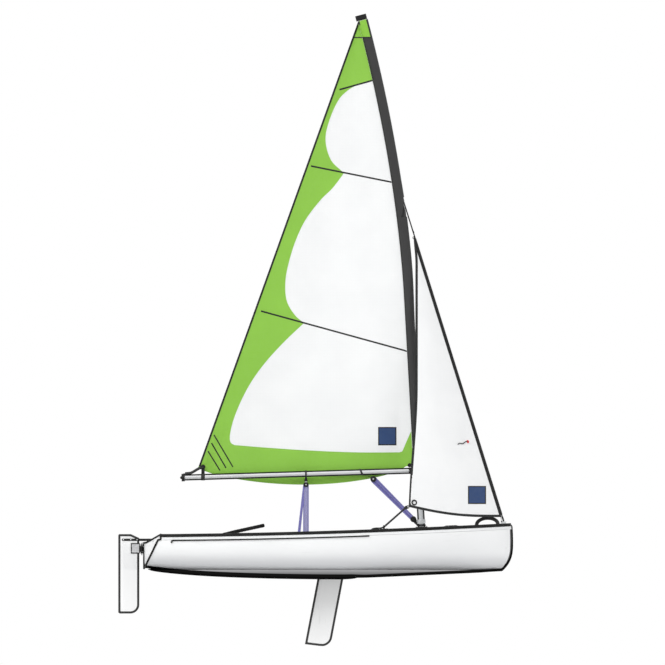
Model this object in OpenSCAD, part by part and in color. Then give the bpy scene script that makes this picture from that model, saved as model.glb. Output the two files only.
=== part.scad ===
// Junior sailing dinghy with a sleeved mainsail and a jib.
// +X points to the bow, +Y to port and +Z up.
// The origin is on the centreline at the waterline, under the middle of the hull.
// Heights in the sections below are above the underside of the keel strip,
// and afloat() then lowers everything by the draught.

/* [Hull] */
// Length of the hull, from the stem to the middle of the transom
hull_length = 2970; // [2600:10:3400]
// Widest beam, over the gunwales
beam = 1200; // [1000:10:1400]
// Beam at the transom corners
transom_beam = 940; // [760:10:1000]
// Depth from the waterline to the underside of the keel strip, boat empty
draught = 78; // [60:1:140]
// Height of the gunwale at the transom
stern_sheer = 364; // [340:2:420]
// Height of the gunwale at the stem
bow_sheer = 452; // [440:2:540]
// How far the top of the transom lies forward of its foot
transom_rake = 135; // [60:5:200]
// Depth of the black strip under the keel
keel_strip_d = 18; // [10:1:30]
// Thickness of the deck moulding
deck_t = 14; // [10:1:20]
// Depth of the rolled gunwale rim
rim_d = 42; // [30:1:60]

/* [Cockpit] */
// Height of the cockpit floor
floor_h = 150; // [135:1:180]
// Height of the aft deck, under the tiller
aft_deck_h = 296; // [270:1:300]
// Width of the side decks
side_deck_w = 150; // [110:5:180]
// Aft end of the cockpit well
well_aft = -1225; // [-1300:5:-1100]
// Front end of the cockpit well
well_front = 390; // [300:5:450]

/* [Mast and boom] */
// Mast position along the hull, at its heel
mast_x = 756; // [700:2:820]
// Rake of the lower mast
mast_rake = 3.2; // [0:0.1:6]
// Radius of the lower mast tube
mast_r = 30; // [25:0.5:35]
// Radius of the mast at its head
mast_head_r = 15; // [10:0.5:20]
// Height of the mast head
mast_head_h = 4520; // [4200:10:4900]
// Height where the mast starts to bend aft
bend_h = 2300; // [2000:10:2600]
// How far the bend sets the mast head aft
bend_back = 246; // [100:2:320]
// Height of the boom's axis at its front end
boom_front_h = 879; // [840:1:960]
// Height of the boom's axis at its aft end
boom_aft_h = 824; // [800:1:900]
// Length of the boom tube
boom_l = 1834; // [1600:10:2000]
// Radius of the boom tube
boom_r = 25; // [20:0.5:30]

/* [Sails] */
// Thickness of the sail solids
sail_t = 5; // [3:1:8]
// Width of the luff sleeve, fore and aft
sleeve_w = 77; // [72:1:90]
// Height of the tack end of the sleeve
tack_h = 930; // [925:1:1020]
// Belly of the mainsail, to port
main_belly = 70; // [30:5:120]
// Drop of the loose foot under the straight line from tack to clew
foot_drop = 145; // [60:5:160]
// How far the clew of the jib stands out to starboard
jib_clew_out = 360; // [300:5:420]
// Belly of the jib, to starboard
jib_belly = 60; // [20:5:80]

/* [Foils] */
// Chord of the daggerboard
board_chord = 206; // [160:1:240]
// Thickness of the daggerboard
board_t = 22; // [16:1:28]
// Reach of the daggerboard below the keel
board_reach = 528; // [400:2:700]
// Forward lean of the daggerboard's head
board_rake = 10.8; // [0:0.1:15]
// Clearance round the board in its slot
slot_clear = 2; // [1:0.5:4]
// Top of the daggerboard case
case_top_h = 300; // [260:2:320]
// Chord of the rudder blade
rudder_chord = 170; // [140:1:200]
// Thickness of the rudder blade
rudder_t = 20; // [14:1:26]
// Height of the rudder's square top
rudder_top_h = 367; // [350:1:390]
// Reach of the rudder below the keel
rudder_reach = 275; // [150:1:400]
// Length of the tiller, forward of the rudder pins
tiller_l = 570; // [480:5:600]
// Length of the tiller extension
extension_l = 445; // [400:5:500]

/* [Fittings] */
// Radius of the rudder pin
pin_r = 5; // [4:0.5:6]
// Running clearance round the rudder pin
pin_clear = 0.1; // [0.05:0.05:0.3]
// Radius of the holes in the bow plate
plate_hole_r = 3.2; // [2.5:0.1:4]
// Length of the bow handle
handle_l = 202; // [170:2:240]
// Height of the bow handle over the deck
handle_h = 68; // [60:1:90]
// Thickness of the bow handle
handle_t = 30; // [20:1:34]

/* [Hidden] */
$fn = 48;
gap = 0.3;
half_l = hull_length / 2;
half_beam = beam / 2;

// ---- small functions ----
function mix(a, b, t) = a + (b - a) * t;
function ease(t) = t <= 0 ? 0 : t >= 1 ? 1 : t * t * (3 - 2 * t);
function ramp(x, from, to) = ease((x - from) / (to - from));

module afloat() translate([0, 0, -draught]) children();

// A closed solid between two grids of points with the same rows and columns.
// The rows of lower, seen from below, run clockwise from the first column.
module slab(lower, upper) {
    rows = len(lower);
    cols = len(lower[0]);
    size = rows * cols;
    points = [for (grid = [lower, upper]) for (row = grid) for (p = row) p];
    faces = concat(
        [for (i = [0 : rows - 2]) for (j = [0 : cols - 2])
            [i * cols + j, (i + 1) * cols + j, (i + 1) * cols + j + 1, i * cols + j + 1]],
        [for (i = [0 : rows - 2]) for (j = [0 : cols - 2])
            [size + i * cols + j, size + i * cols + j + 1,
             size + (i + 1) * cols + j + 1, size + (i + 1) * cols + j]],
        [for (i = [0 : rows - 2])
            [i * cols, size + i * cols, size + (i + 1) * cols, (i + 1) * cols]],
        [for (i = [0 : rows - 2])
            [(i + 1) * cols - 1, (i + 2) * cols - 1,
             size + (i + 2) * cols - 1, size + (i + 1) * cols - 1]],
        [for (j = [0 : cols - 2]) [j, j + 1, size + j + 1, size + j]],
        [for (j = [0 : cols - 2])
            [size - cols + j, 2 * size - cols + j, 2 * size - cols + j + 1, size - cols + j + 1]]
    );
    polyhedron(points, [for (f = faces) each [[f[0], f[1], f[2]], [f[0], f[2], f[3]]]]);
}

// A straight round bar between two points.
module bar(a, b, r) {
    d = b - a;
    translate(a)
        rotate([0, acos(d.z / norm(d)), atan2(d.y, d.x)])
            cylinder(r = r, h = norm(d));
}

// ---- hull form ----
function along(x) = (x + half_l) / hull_length;
function sheer(x) = mix(stern_sheer, bow_sheer, pow(max(along(x), 0), 1.75));

// Underside of the hull skin on the centreline, lowest at fullest_x.
fullest_x = 137;
aft_lift = 50;
stern_lift = 26;
fore_slope = 0.045;
function keel(x) =
    let (aft = max(fullest_x - x, 0) / (half_l + fullest_x),
         fore = max(x - fullest_x, 0))
    keel_strip_d + aft_lift * pow(aft, 2) + stern_lift * pow(aft, 6) + fore_slope * fore;

// Half beam at the gunwale: widest a little aft of the middle.
widest_x = -160;
stem_half = 16;
function half_breadth(x) =
    let (u = (x - widest_x) / (half_l - widest_x), w = (widest_x - x) / (half_l + widest_x))
    x < widest_x
        ? half_beam - (half_beam - transom_beam / 2) * pow(w, 2)
        : stem_half + (half_beam - stem_half) * pow(max(1 - pow(u, 2.1), 0), 0.62);

// Bow profile: how far a height stands back from the foremost point.
foremost_h = 300;
forefoot_back = 70;
stem_lean = 6;
function stem_back(h) = h < foremost_h
    ? forefoot_back * pow((foremost_h - h) / 210, 3)
    : stem_lean * pow((h - foremost_h) / 150, 2);

// Transom profile: how far a height stands forward of the foot of the transom.
transom_foot_h = 85;
function transom_fore(h) =
    transom_rake * max((h - transom_foot_h) / (stern_sheer - transom_foot_h), 0);

// Stations, closer together where the form turns fast.
well_start = well_aft + 60;
well_end = well_front - 90;
foredeck_start = well_front + 60;
bow_start = half_l - 355;
function spread(from, to, n) = [for (i = [0 : n - 1]) mix(from, to, i / n)];
stations = concat(
    spread(-half_l, well_start, 8),
    spread(well_start, well_end, 9),
    spread(well_end, foredeck_start, 6),
    spread(foredeck_start, bow_start, 6),
    [for (i = [0 : 10]) mix(half_l, bow_start, pow(1 - i / 10, 1.9))]
);

// Moves a station's points so that the ends follow the transom and the stem.
stern_run = 420;
bow_run = 330;
function ends(x, aft, fore) =
    x + aft * (1 - ramp(x, -half_l, -half_l + stern_run))
    - fore * ramp(x, half_l - bow_run, half_l);

// Outer skin, one side: from under the rim down to the keel.
// The section turns from round amidships to a flared V at the bow.
skin_n = 12;
rim_gap = 4;
rim_step = 8;
function skin_point(x, j) =
    let (angle = 90 * (1 - j / skin_n),
         bow = ramp(x, 100, 1400),
         low = keel(x),
         top = sheer(x) - rim_d - rim_gap,
         full = mix(0.72, 1.0, bow),
         rise = 1 - pow(cos(angle), mix(0.78, 0.9, bow)),
         flare = mix(0.07, 0.26, bow),
         step_in = rim_step * (1 - ramp(x, 250, 420)),
         h = mix(low, top, rise),
         y = (half_breadth(x) - step_in) * pow(sin(angle), full) * (1 - flare * (1 - rise)))
    [ends(x, transom_fore(h), stem_back(h)), max(y, j == skin_n ? 0 : 0.5), h];

// Height of the deck on the centreline: floor, aft deck or foredeck.
function well_h(x) =
    x < (well_aft + well_front) / 2
        ? mix(aft_deck_h, floor_h, ramp(x, well_aft - 25, well_aft + 40))
        : mix(floor_h, sheer(x), ramp(x, well_front - 80, well_front + 20));

// Deck surface, one side, from the bottom of the rim to the centreline.
// The lists hold the rim's corner, the side deck, the coaming, the well's side and its floor.
// drop is the depth under that surface, and fore the share of the transom's rake.
deck_n = 12;
function deck_point(x, j, drop) =
    let (b = half_breadth(x),
         s = sheer(x),
         d = s - well_h(x),
         scale = min(1, b / 320),
         inner = max(b - side_deck_w, 0.45 * b),
         wall = drop * scale,
         y = [b - 1.4 * wall, b - 1.4 * wall, b - 4 * scale - 1.2 * wall,
              b - 16 * scale - 0.8 * wall, b - 60 * scale,
              inner + 45 * scale + 0.2 * wall, inner + 16 * scale + 0.6 * wall,
              inner + 0.8 * wall, inner - 18 * scale + 0.8 * wall,
              inner - 50 * scale + 0.2 * wall, inner * 0.6, inner * 0.3, 0][j],
         h = [s - rim_d - rim_gap + (drop > 0 ? 0 : rim_gap / 2), s - 22 - 0.6 * drop,
              s - 8 - 0.8 * drop, s - 2 - drop, s - drop,
              s - 0.01 * d - drop, s - 0.09 * d - drop,
              s - 0.24 * d - 0.8 * drop, s - 0.88 * d - drop,
              s - d - drop, s - d - drop, s - d - drop, s - d - drop][j],
         fore = [1, 1, 1, 1, 1, 1, 0.93, 0.8, 0.24, 0.07, 0.02, 0, 0][j])
    [ends(x, transom_fore(sheer(x)) * fore, stem_back(h)), y, h];

function mirrored(half) = concat(
    [for (p = half) [p.x, -p.y, p.z]],
    [for (i = [len(half) - 2 : -1 : 0]) half[i]]
);
skin = [for (x = stations) mirrored([for (j = [0 : skin_n]) skin_point(x, j)])];
deck_top = [for (x = stations) mirrored([for (j = [0 : deck_n]) deck_point(x, j, 0)])];
deck_under = [for (x = stations) mirrored([for (j = [0 : deck_n]) deck_point(x, j, deck_t)])];

// Puts children on the foredeck over x - half to x + half, tilted with the sheer.
deck_gap = 1;
module on_deck(x, half) {
    rise = sheer(x + half) - sheer(x - half);
    translate([x, 0, (sheer(x + half) + sheer(x - half)) / 2 + deck_gap])
        rotate([0, -atan(rise / (2 * half)), 0]) children();
}

// ---- daggerboard geometry ----
board_x = 18;
slot_w = board_chord + 2 * slot_clear;
slot_t = board_t + 2 * slot_clear;
module along_board() translate([board_x, 0, 0]) rotate([0, board_rake, 0]) children();
tail_l = 30;
tail_t = 2;
module foil(chord, t) {
    hull() {
        translate([chord / 2 - t / 2, 0]) circle(d = t, $fn = 32);
        translate([-chord / 2 + tail_l, 0]) square([1, t], center = true);
        translate([-chord / 2 + tail_t / 2, 0]) circle(d = tail_t, $fn = 16);
    }
}
slot_from = -60;
slot_h = 520;
module slot_cut() {
    along_board()
        translate([0, 0, slot_from])
            linear_extrude(height = slot_h)
                square([slot_w, slot_t], center = true);
}

// ---- mast geometry ----
step_r = mast_r + 6;
step_bottom_h = 175;
step_floor_t = 10;
heel_h = step_bottom_h + step_floor_t;
partner_h = 416;
function mast_line(h) = mast_x - tan(mast_rake) * (h - partner_h);
bend_power = 1.85;
function bend_part(h) = max(h - bend_h, 0) / (mast_head_h - bend_h);
function mast_centre(h) = [mast_line(h) - bend_back * pow(bend_part(h), bend_power), 0, h];
function mast_slope(h) = atan(tan(mast_rake)
    + bend_power * bend_back / (mast_head_h - bend_h) * pow(bend_part(h), bend_power - 1));
module along_mast(h) translate([mast_line(h), 0, h]) rotate([0, -mast_rake, 0]) children();

// Ring of points round the mast, square to it.
function mast_ring(h, rx, ry, n) =
    let (c = mast_centre(h), s = mast_slope(h))
    [for (k = [0 : n - 1])
        let (a = 360 * k / n)
        c + [rx * cos(a) * cos(s), ry * sin(a), rx * cos(a) * sin(s)]];

// A closed solid through rings of n points each, from the bottom up.
module loft(rings) {
    n = len(rings[0]);
    m = len(rings);
    points = [for (r = rings) each r];
    sides = [for (i = [0 : m - 2]) for (k = [0 : n - 1])
        each [[i * n + k, (i + 1) * n + k, (i + 1) * n + (k + 1) % n],
              [i * n + k, (i + 1) * n + (k + 1) % n, i * n + (k + 1) % n]]];
    polyhedron(points, concat(sides, [[for (k = [0 : n - 1]) k]],
        [[for (k = [n - 1 : -1 : 0]) (m - 1) * n + k]]));
}

// ---- hull body ----
module step_cut() along_mast(step_bottom_h) cylinder(r = step_r, h = 400);
module hull_moulding() color("white") afloat() difference() {
    slab(skin, deck_under);
    slot_cut();
    step_cut();
}

module deck_moulding() color("whitesmoke") afloat() difference() {
    slab(deck_under, deck_top);
    slot_cut();
    step_cut();
}

// Rubber strip over the outer corner of the gunwale, from transom to stem.
strake_out = [5, 5, 2];
strake_up = [0, 3, 4];
module gunwale_strake(side) {
    inner = [for (x = stations) [for (j = [1 : 3])
        let (p = deck_point(x, j, 0))
        [p.x, side * (p.y + gap), p.z + gap]]];
    outer = [for (x = stations) [for (j = [1 : 3])
        let (p = deck_point(x, j, 0))
        [p.x, side * (p.y + strake_out[j - 1]), p.z + strake_up[j - 1]]]];
    if (side > 0) slab(outer, inner); else slab(inner, outer);
}
module gunwale_strake_port() color([0.13, 0.13, 0.12]) afloat() gunwale_strake(1);
module gunwale_strake_starboard() color([0.13, 0.13, 0.12]) afloat() gunwale_strake(-1);

// Band of blocks that follows the keel or the stem: points give [x, height].
module centre_band(path, depth, width) {
    n = len(path);
    function out(i) =
        let (a = path[max(i - 1, 0)], b = path[min(i + 1, n - 1)], d = b - a)
        [d.y, -d.x] / norm(d);
    outer = [for (i = [0 : n - 1]) path[i] + out(i) * depth];
    rotate([90, 0, 0])
        translate([0, 0, -width / 2])
            linear_extrude(height = width)
                polygon(concat(path, [for (i = [n - 1 : -1 : 0]) outer[i]]));
}
strip_w = 36;
strip_aft = -half_l + 30;
strip_front = 215;
strip_xs = concat([strip_aft], [for (x = stations) if (x > strip_aft + 20 && x < strip_front - 20) x],
    [strip_front]);
module keel_strip() color([0.13, 0.13, 0.12]) afloat() difference() {
    centre_band([for (x = strip_xs) [x, keel(x) - gap]], keel_strip_d - gap, strip_w);
    slot_cut();
}

// The stem band starts ahead of the keel strip and ends under the gunwale.
band_w = 20;
band_t = 6;
forefoot = [for (x = stations) if (x > strip_front + 20 && x < half_l - 1)
    let (p = skin_point(x, skin_n)) [p.x, p.z - gap]];
stem_line = [for (j = [skin_n : -1 : 1])
    let (p = skin_point(half_l, j)) [p.x + gap, p.z]];
module stem_band() color([0.13, 0.13, 0.12]) afloat()
    centre_band(concat(forefoot, stem_line), band_t, band_w);

// Trunk that guides the daggerboard, standing on the cockpit floor.
case_l = slot_w + 120;
case_w = slot_t + 44;
case_fore = 40;
module daggerboard_case() color("white") afloat() difference() {
    translate([board_x + case_fore, 0, floor_h])
        linear_extrude(height = case_top_h)
            hull()
                for (x = [-1, 1])
                    translate([x * (case_l - case_w) / 2, 0]) circle(d = case_w);
    slot_cut();
    along_board()
        translate([-300, -100, case_top_h / cos(board_rake)]) cube([600, 200, 400]);
}

// Cup in the foredeck that holds the heel of the mast, with a collar on the deck.
collar_t = 8;
collar_r = step_r + 12;
collar_lift = 3.66;
collar_at = (sheer(mast_x - collar_r) + collar_lift - step_bottom_h) / cos(mast_rake);
module mast_step() color([0.2, 0.2, 0.2]) afloat() along_mast(step_bottom_h) difference() {
    union() {
        cylinder(r = step_r - gap, h = collar_at + 1);
        translate([0, 0, collar_at]) cylinder(r = collar_r, h = collar_t);
    }
    translate([0, 0, step_floor_t]) cylinder(r = mast_r + 0.1, h = 300);
}

// Arched handle on the foredeck.
handle_back = 198;
handle_x = half_l - handle_back;
handle_w = 34;
module bow_handle() color([0.13, 0.13, 0.12]) afloat()
    on_deck(handle_x, handle_l / 2)
        rotate([90, 0, 0])
            translate([0, 0, -handle_w / 2])
                linear_extrude(height = handle_w)
                    difference() {
                        handle_arch(handle_l / 2, handle_h);
                        handle_arch(handle_l / 2 - handle_t, handle_h - handle_t);
                    }
module handle_arch(half, h) {
    intersection() {
        scale([1, h / half]) circle(r = half);
        translate([-half, 0]) square([2 * half, h]);
    }
}

// ---- transom and rudder ----
pin_x = -half_l - 20;
gudgeon_low_h = 210;
gudgeon_high_h = 284;
gudgeon_h = 11;
backing_t = 6;
backing_w = 34;
plate_x = -half_l - backing_t;
module transom_plate() color([0.13, 0.13, 0.12]) afloat()
    translate([plate_x, -backing_w / 2, 100]) cube([backing_t, backing_w, 180]);

// Two lugs that carry the rudder pin.
lug_r = 11;
module gudgeons() color([0.13, 0.13, 0.12]) afloat()
    for (h = [gudgeon_low_h, gudgeon_high_h - gudgeon_h])
        translate([pin_x, 0, h])
            difference() {
                linear_extrude(height = gudgeon_h)
                    union() {
                        circle(r = lug_r);
                        translate([0, -lug_r]) square([plate_x - pin_x - gap, 2 * lug_r]);
                    }
                translate([0, 0, -1]) cylinder(r = pin_r + pin_clear, h = 20);
            }

pin_tail = 14;
pin_top = 10;
module rudder_pin() color("silver") afloat() translate([pin_x, 0, 0]) union() {
    translate([0, 0, gudgeon_low_h - pin_tail])
        cylinder(r = pin_r, h = gudgeon_high_h - gudgeon_low_h + pin_tail + pin_top);
    translate([0, 0, gudgeon_high_h + pin_top / 2]) cylinder(r = pin_r + 3, h = 7);
}

// Cheeks and a knuckle that hang the blade on its pin.
cheek_l = 74;
cheek_h = 84;
cheek_t = 5;
knuckle_gap = 1;
bridge_x = pin_x - 19;
module rudder_bracket() color("lightgrey") afloat() difference() {
    union() {
        for (side = [-1, 1])
            translate([bridge_x + cheek_t - cheek_l,
                       side * (rudder_t / 2 + gap) - (side < 0 ? cheek_t : 0), gudgeon_low_h])
                cube([cheek_l, cheek_t, cheek_h]);
        translate([bridge_x, -rudder_t / 2 - gap - cheek_t, gudgeon_low_h])
            cube([cheek_t, rudder_t + 2 * gap + 2 * cheek_t, cheek_h]);
        translate([pin_x, 0, gudgeon_low_h + gudgeon_h + knuckle_gap])
            linear_extrude(
                height = gudgeon_high_h - gudgeon_low_h - 2 * gudgeon_h - 2 * knuckle_gap)
                union() {
                    circle(r = lug_r);
                    translate([bridge_x + cheek_t - 1 - pin_x, -lug_r]) square([15, 2 * lug_r]);
                }
    }
    translate([pin_x, 0, 0]) cylinder(r = pin_r + pin_clear, h = 400);
}

rudder_le = bridge_x - 0.5;
rudder_te = rudder_le - rudder_chord;
tiller_h = 321;
tiller_d = 20;
tiller_fit = 0.4;
module rudder_outline() {
    corner = 72;
    difference() {
        polygon([
            [rudder_te + 8, rudder_top_h], [rudder_te + rudder_chord * 0.6, rudder_top_h],
            [rudder_le, rudder_top_h - 32], [rudder_le, -rudder_reach],
            [rudder_te, -rudder_reach], [rudder_te, rudder_top_h - 8]
        ]);
        translate([rudder_le - corner, -rudder_reach])
            difference() {
                square(corner + 1);
                translate([0, corner]) circle(r = corner);
            }
    }
}
module rudder_blade() color([0.8, 0.81, 0.81]) afloat() difference() {
    intersection() {
        rotate([90, 0, 0])
            translate([0, 0, -20])
                linear_extrude(height = 40) rudder_outline();
        translate([rudder_le - rudder_chord / 2, 0, -rudder_reach - 1])
            linear_extrude(height = rudder_reach + rudder_top_h + 2) foil(rudder_chord, rudder_t);
    }
    translate([tiller_aft - 13, 0, tiller_h])
        rotate([0, 90, 0]) cylinder(d = tiller_d + tiller_fit, h = 400);
}

// Tiller through the head of the rudder.
tiller_aft = rudder_te + 33;
tiller_front = pin_x + tiller_l;
module tiller() color([0.13, 0.13, 0.12]) afloat()
    translate([tiller_aft, 0, tiller_h])
        rotate([0, 90, 0]) cylinder(d = tiller_d, h = tiller_front - tiller_aft);

tiller_top = tiller_h + tiller_d / 2;
joint_r = 9;
module tiller_joint() color([0.13, 0.13, 0.12]) afloat()
    translate([tiller_front - 24, 0, tiller_top + gap]) union() {
        cylinder(r = joint_r, h = joint_r + 0.5);
        translate([0, 0, joint_r + 0.5]) sphere(r = joint_r);
    }

extension_rise = 12.4;
stick_r = 8;
grip_r = 15;
stick_l = extension_l * 0.55;
module tiller_extension() color([0.13, 0.13, 0.12]) afloat()
    translate([tiller_front - 12, 0, tiller_top + 12])
        rotate([0, 90 - extension_rise, 0]) union() {
            cylinder(r = stick_r, h = stick_l);
            translate([0, 0, stick_l]) cylinder(r = grip_r, h = extension_l - stick_l - grip_r);
            translate([0, 0, extension_l - grip_r]) sphere(r = grip_r);
        }

// ---- daggerboard ----
board_top = case_top_h / cos(board_rake);
board_bottom = -board_reach / cos(board_rake);
module board_outline() {
    nose = 84;
    tip = 14;
    half = board_chord / 2;
    nose_low = tip * nose / board_chord;
    difference() {
        polygon([
            [half, board_top + gap], [half, board_bottom], [-half, board_bottom - tip],
            [-half, board_top + gap]
        ]);
        translate([half - nose, board_bottom - tip - 1])
            difference() {
                square([nose + 1, nose + tip + 1]);
                translate([0, tip + 1 - nose_low + nose]) circle(r = nose);
            }
    }
}
module daggerboard() color([0.8, 0.81, 0.81]) afloat() along_board() intersection() {
    rotate([90, 0, 0])
        translate([0, 0, -20])
            linear_extrude(height = 40) board_outline();
    translate([0, 0, board_bottom - 20])
        linear_extrude(height = board_top - board_bottom + 40) foil(board_chord, board_t);
}

// Head that stops the board on its case, with a grip to lift it by.
head_w = 36;
module head_outline() {
    difference() {
        hull() {
            translate([-board_chord / 2 - 8, 0]) square([board_chord + 16, 10]);
            for (x = [-1, 1]) translate([x * (board_chord / 2 - 22), 36]) circle(r = 18);
        }
        hull()
            for (x = [-1, 1]) translate([x * (board_chord / 2 - 36), 27]) circle(r = 11);
    }
}
module daggerboard_head() color([0.13, 0.13, 0.12]) afloat() along_board()
    translate([0, 0, board_top + gap])
        rotate([90, 0, 0])
            translate([0, 0, -head_w / 2]) linear_extrude(height = head_w) head_outline();

// ---- rig body ----
module lower_mast() color([0.8, 0.81, 0.81]) afloat() along_mast(heel_h)
    cylinder(r = mast_r, h = (bend_h - heel_h) / cos(mast_rake));

upper_heights = [for (i = [0 : 14]) mix(bend_h + 0.5, mast_head_h, i / 14)];
function mast_radius(h) = mix(mast_r - 3, mast_head_r, (h - bend_h) / (mast_head_h - bend_h));
module upper_mast() color([0.8, 0.81, 0.81]) afloat()
    loft([for (h = upper_heights) mast_ring(h, mast_radius(h), mast_radius(h), 16)]);

module along_head(h) {
    c = mast_centre(h);
    translate(c) rotate([0, -mast_slope(h), 0]) children();
}
module mast_cap() color([0.13, 0.13, 0.12]) afloat() along_head(mast_head_h)
    translate([-6, 0, 1])
        linear_extrude(height = 44)
            hull() {
                translate([-30, 0]) circle(r = 16, $fn = 32);
                translate([26, 0]) circle(r = 18, $fn = 32);
            }

// Sleeve of cloth round the mast.
sleeve_top_h = mast_head_h - 8;
sleeve_heights = concat(
    [for (i = [0 : 4]) mix(tack_h, bend_h, i / 5)],
    [for (i = [0 : 12]) mix(bend_h, sleeve_top_h, i / 12)]
);
sleeve_n = 20;

// A closed tube of cloth between an outer and an inner set of rings.
module tube(outer, inner) {
    n = len(outer[0]);
    m = len(outer);
    size = m * n;
    points = [for (grid = [outer, inner]) for (row = grid) each row];
    at = function (i, k) i * n + k % n;
    faces = [
        for (i = [0 : m - 2]) for (k = [0 : n - 1])
            each [[at(i, k), at(i + 1, k), at(i + 1, k + 1)],
                  [at(i, k), at(i + 1, k + 1), at(i, k + 1)],
                  [size + at(i, k), size + at(i + 1, k + 1), size + at(i + 1, k)],
                  [size + at(i, k), size + at(i, k + 1), size + at(i + 1, k + 1)]],
        for (k = [0 : n - 1])
            each [[at(0, k), at(0, k + 1), size + at(0, k + 1)],
                  [at(0, k), size + at(0, k + 1), size + at(0, k)],
                  [at(m - 1, k), size + at(m - 1, k + 1), at(m - 1, k + 1)],
                  [at(m - 1, k), size + at(m - 1, k), size + at(m - 1, k + 1)]]
    ];
    polyhedron(points, faces);
}
// It is open round the hounds, for the forestay at every turn of the mast.
window_low = 135;
module luff_sleeve() color([0.25, 0.25, 0.25]) afloat() difference() {
    tube(
        [for (h = sleeve_heights) mast_ring(h, sleeve_w / 2, mast_r + 4, sleeve_n)],
        [for (h = sleeve_heights)
            let (r = (h <= bend_h + 1 ? mast_r : mast_radius(h)) + 1.5)
            mast_ring(h, r, r, sleeve_n)]
    );
    along_mast(hounds_h) translate([0, 0, -window_low]) cylinder(r1 = 45, r2 = 15, h = window_low);
    along_mast(hounds_h) cylinder(r = 15, h = 24);
}

// Ring ahead of the mast, on the axis that the mast turns about.
hounds_h = 3065;
hounds_r = 10;
hounds_t = 4;
stay_hole_r = 4.5;
function hounds_centre() = [mast_line(hounds_h), 0, hounds_h];
hounds_back = mast_centre(hounds_h).x - mast_line(hounds_h);
module hounds_fitting() color("silver") afloat() along_mast(hounds_h) difference() {
    translate([0, 0, -hounds_t / 2])
        linear_extrude(height = hounds_t)
            union() {
                circle(r = hounds_r);
                translate([hounds_back, -7]) square([-hounds_back - 7, 14]);
            }
    translate([0, 0, -10]) cylinder(r = stay_hole_r, h = 20);
    translate([hounds_back, 0, -10]) cylinder(r = mast_radius(hounds_h) + gap, h = 20);
}

// Mainsail: straight leech from the head to the clew, loose foot beside and under the boom.
head_x = 236;
leech_top_h = 4489;
clew_x = -1048;
clew_h = 908;
function leech_x(h) = mix(clew_x, head_x, (h - clew_h) / (leech_top_h - clew_h));
function luff_x(h) = mast_centre(h).x - sleeve_w / 2 - 1.5;
main_rows = 16;
main_cols = 14;
foot_end = 0.96;
foot_power = 0.6;
function foot_h(t) = mix(clew_h, tack_h - 15, t)
    - foot_drop * pow(max(sin(180 * min(pow(t / foot_end, 1.05), 1)), 0), foot_power);
function main_point(i, j) =
    let (t = j / main_cols,
         v = i / main_rows,
         base = foot_h(t),
         h = mix(base, leech_top_h, v),
         edge = max(h, clew_h),
         x = mix(leech_x(edge), luff_x(max(h, tack_h)), t),
         full = main_belly * sin(180 * pow(t, 0.8)) * (1 - 0.75 * v),
         beside = (boom_r + 12) * min(1, min(t, 1 - t) / 0.05) * (1 - ramp(v, 0, 0.25)))
    [x, max(full, beside), h];
function main_side(out) = [for (i = [0 : main_rows]) [for (j = [0 : main_cols])
    main_point(i, j) + [0, out * sail_t / 2, 0]]];
module mainsail() color([0.55, 0.78, 0.25]) afloat() slab(main_side(1), main_side(-1));

boom_tilt = asin((boom_front_h - boom_aft_h) / boom_l);
boom_standoff = 24;
boom_front_x = mast_line(boom_front_h) - mast_r - boom_standoff;
module along_boom(from_front) translate([boom_front_x, 0, boom_front_h])
    rotate([0, -90 - boom_tilt, 0])
        translate([0, 0, from_front]) children();
module boom() color([0.72, 0.72, 0.73]) afloat() along_boom(0) cylinder(r = boom_r, h = boom_l);
module boom_aft_cap() color([0.13, 0.13, 0.12]) afloat() along_boom(boom_l + gap) union() {
    cylinder(r = boom_r + 6, h = 26);
    translate([0, 0, 26]) sphere(r = 12);
}

// Collar on the mast with a tongue in the end of the boom.
module gooseneck() color([0.2, 0.2, 0.2]) afloat() difference() {
    union() {
        along_mast(boom_front_h - 30) cylinder(r = mast_r + 6, h = 50);
        along_boom(-20) cylinder(r = 14, h = 20 - gap);
    }
    along_mast(boom_front_h - 60) cylinder(r = mast_r + gap, h = 120);
}

// Clasp on the starboard side of the sail's tack.
clasp = [40, 10, 34];
module tack_fitting() color([0.13, 0.13, 0.12]) afloat()
    translate([luff_x(tack_h) - clasp.x - 7, -sail_t / 2 - 0.5 - clasp.y, tack_h - 24])
        cube(clasp);

clew_strap_in = 38;
clew_strap_at = boom_front_x - clew_x - clew_strap_in;
module clew_strap() color([0.13, 0.13, 0.12]) afloat() along_boom(clew_strap_at) difference() {
    cylinder(r = boom_r + 5, h = 32, center = true);
    cylinder(r = boom_r + gap, h = 40, center = true);
}

sheet_x = -178;
function boom_axis_h(x) = boom_front_h - (boom_front_x - x) * tan(boom_tilt);
block_r = 21;
block_w = 26;
block_drop = 54;
module mainsheet_block() color([0.13, 0.13, 0.12]) afloat()
    translate([sheet_x, 0, boom_axis_h(sheet_x) - boom_r - 8])
        union() {
            translate([0, 0, -block_drop])
                rotate([90, 0, 0]) cylinder(r = block_r, h = block_w, center = true);
            translate([-8, -10, -45]) cube([16, 20, 47]);
        }

// Round block at the top of the boom vang, and the bracket at its foot.
vang_x = 366;
vang_h = 812;
module vang_block() color([0.13, 0.13, 0.12]) afloat()
    translate([vang_x, 0, vang_h])
        rotate([90, 0, 0]) cylinder(r = block_r + 3, h = block_w + 2, center = true);
vang_foot_h = 470;
module vang_bracket() color([0.13, 0.13, 0.12]) afloat() difference() {
    union() {
        along_mast(vang_foot_h - 18) cylinder(r = mast_r + 5, h = 34);
        translate([mast_line(vang_foot_h) - mast_r - 24, -6, vang_foot_h - 14]) cube([26, 12, 26]);
    }
    along_mast(vang_foot_h - 60) cylinder(r = mast_r + gap, h = 120);
}

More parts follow.
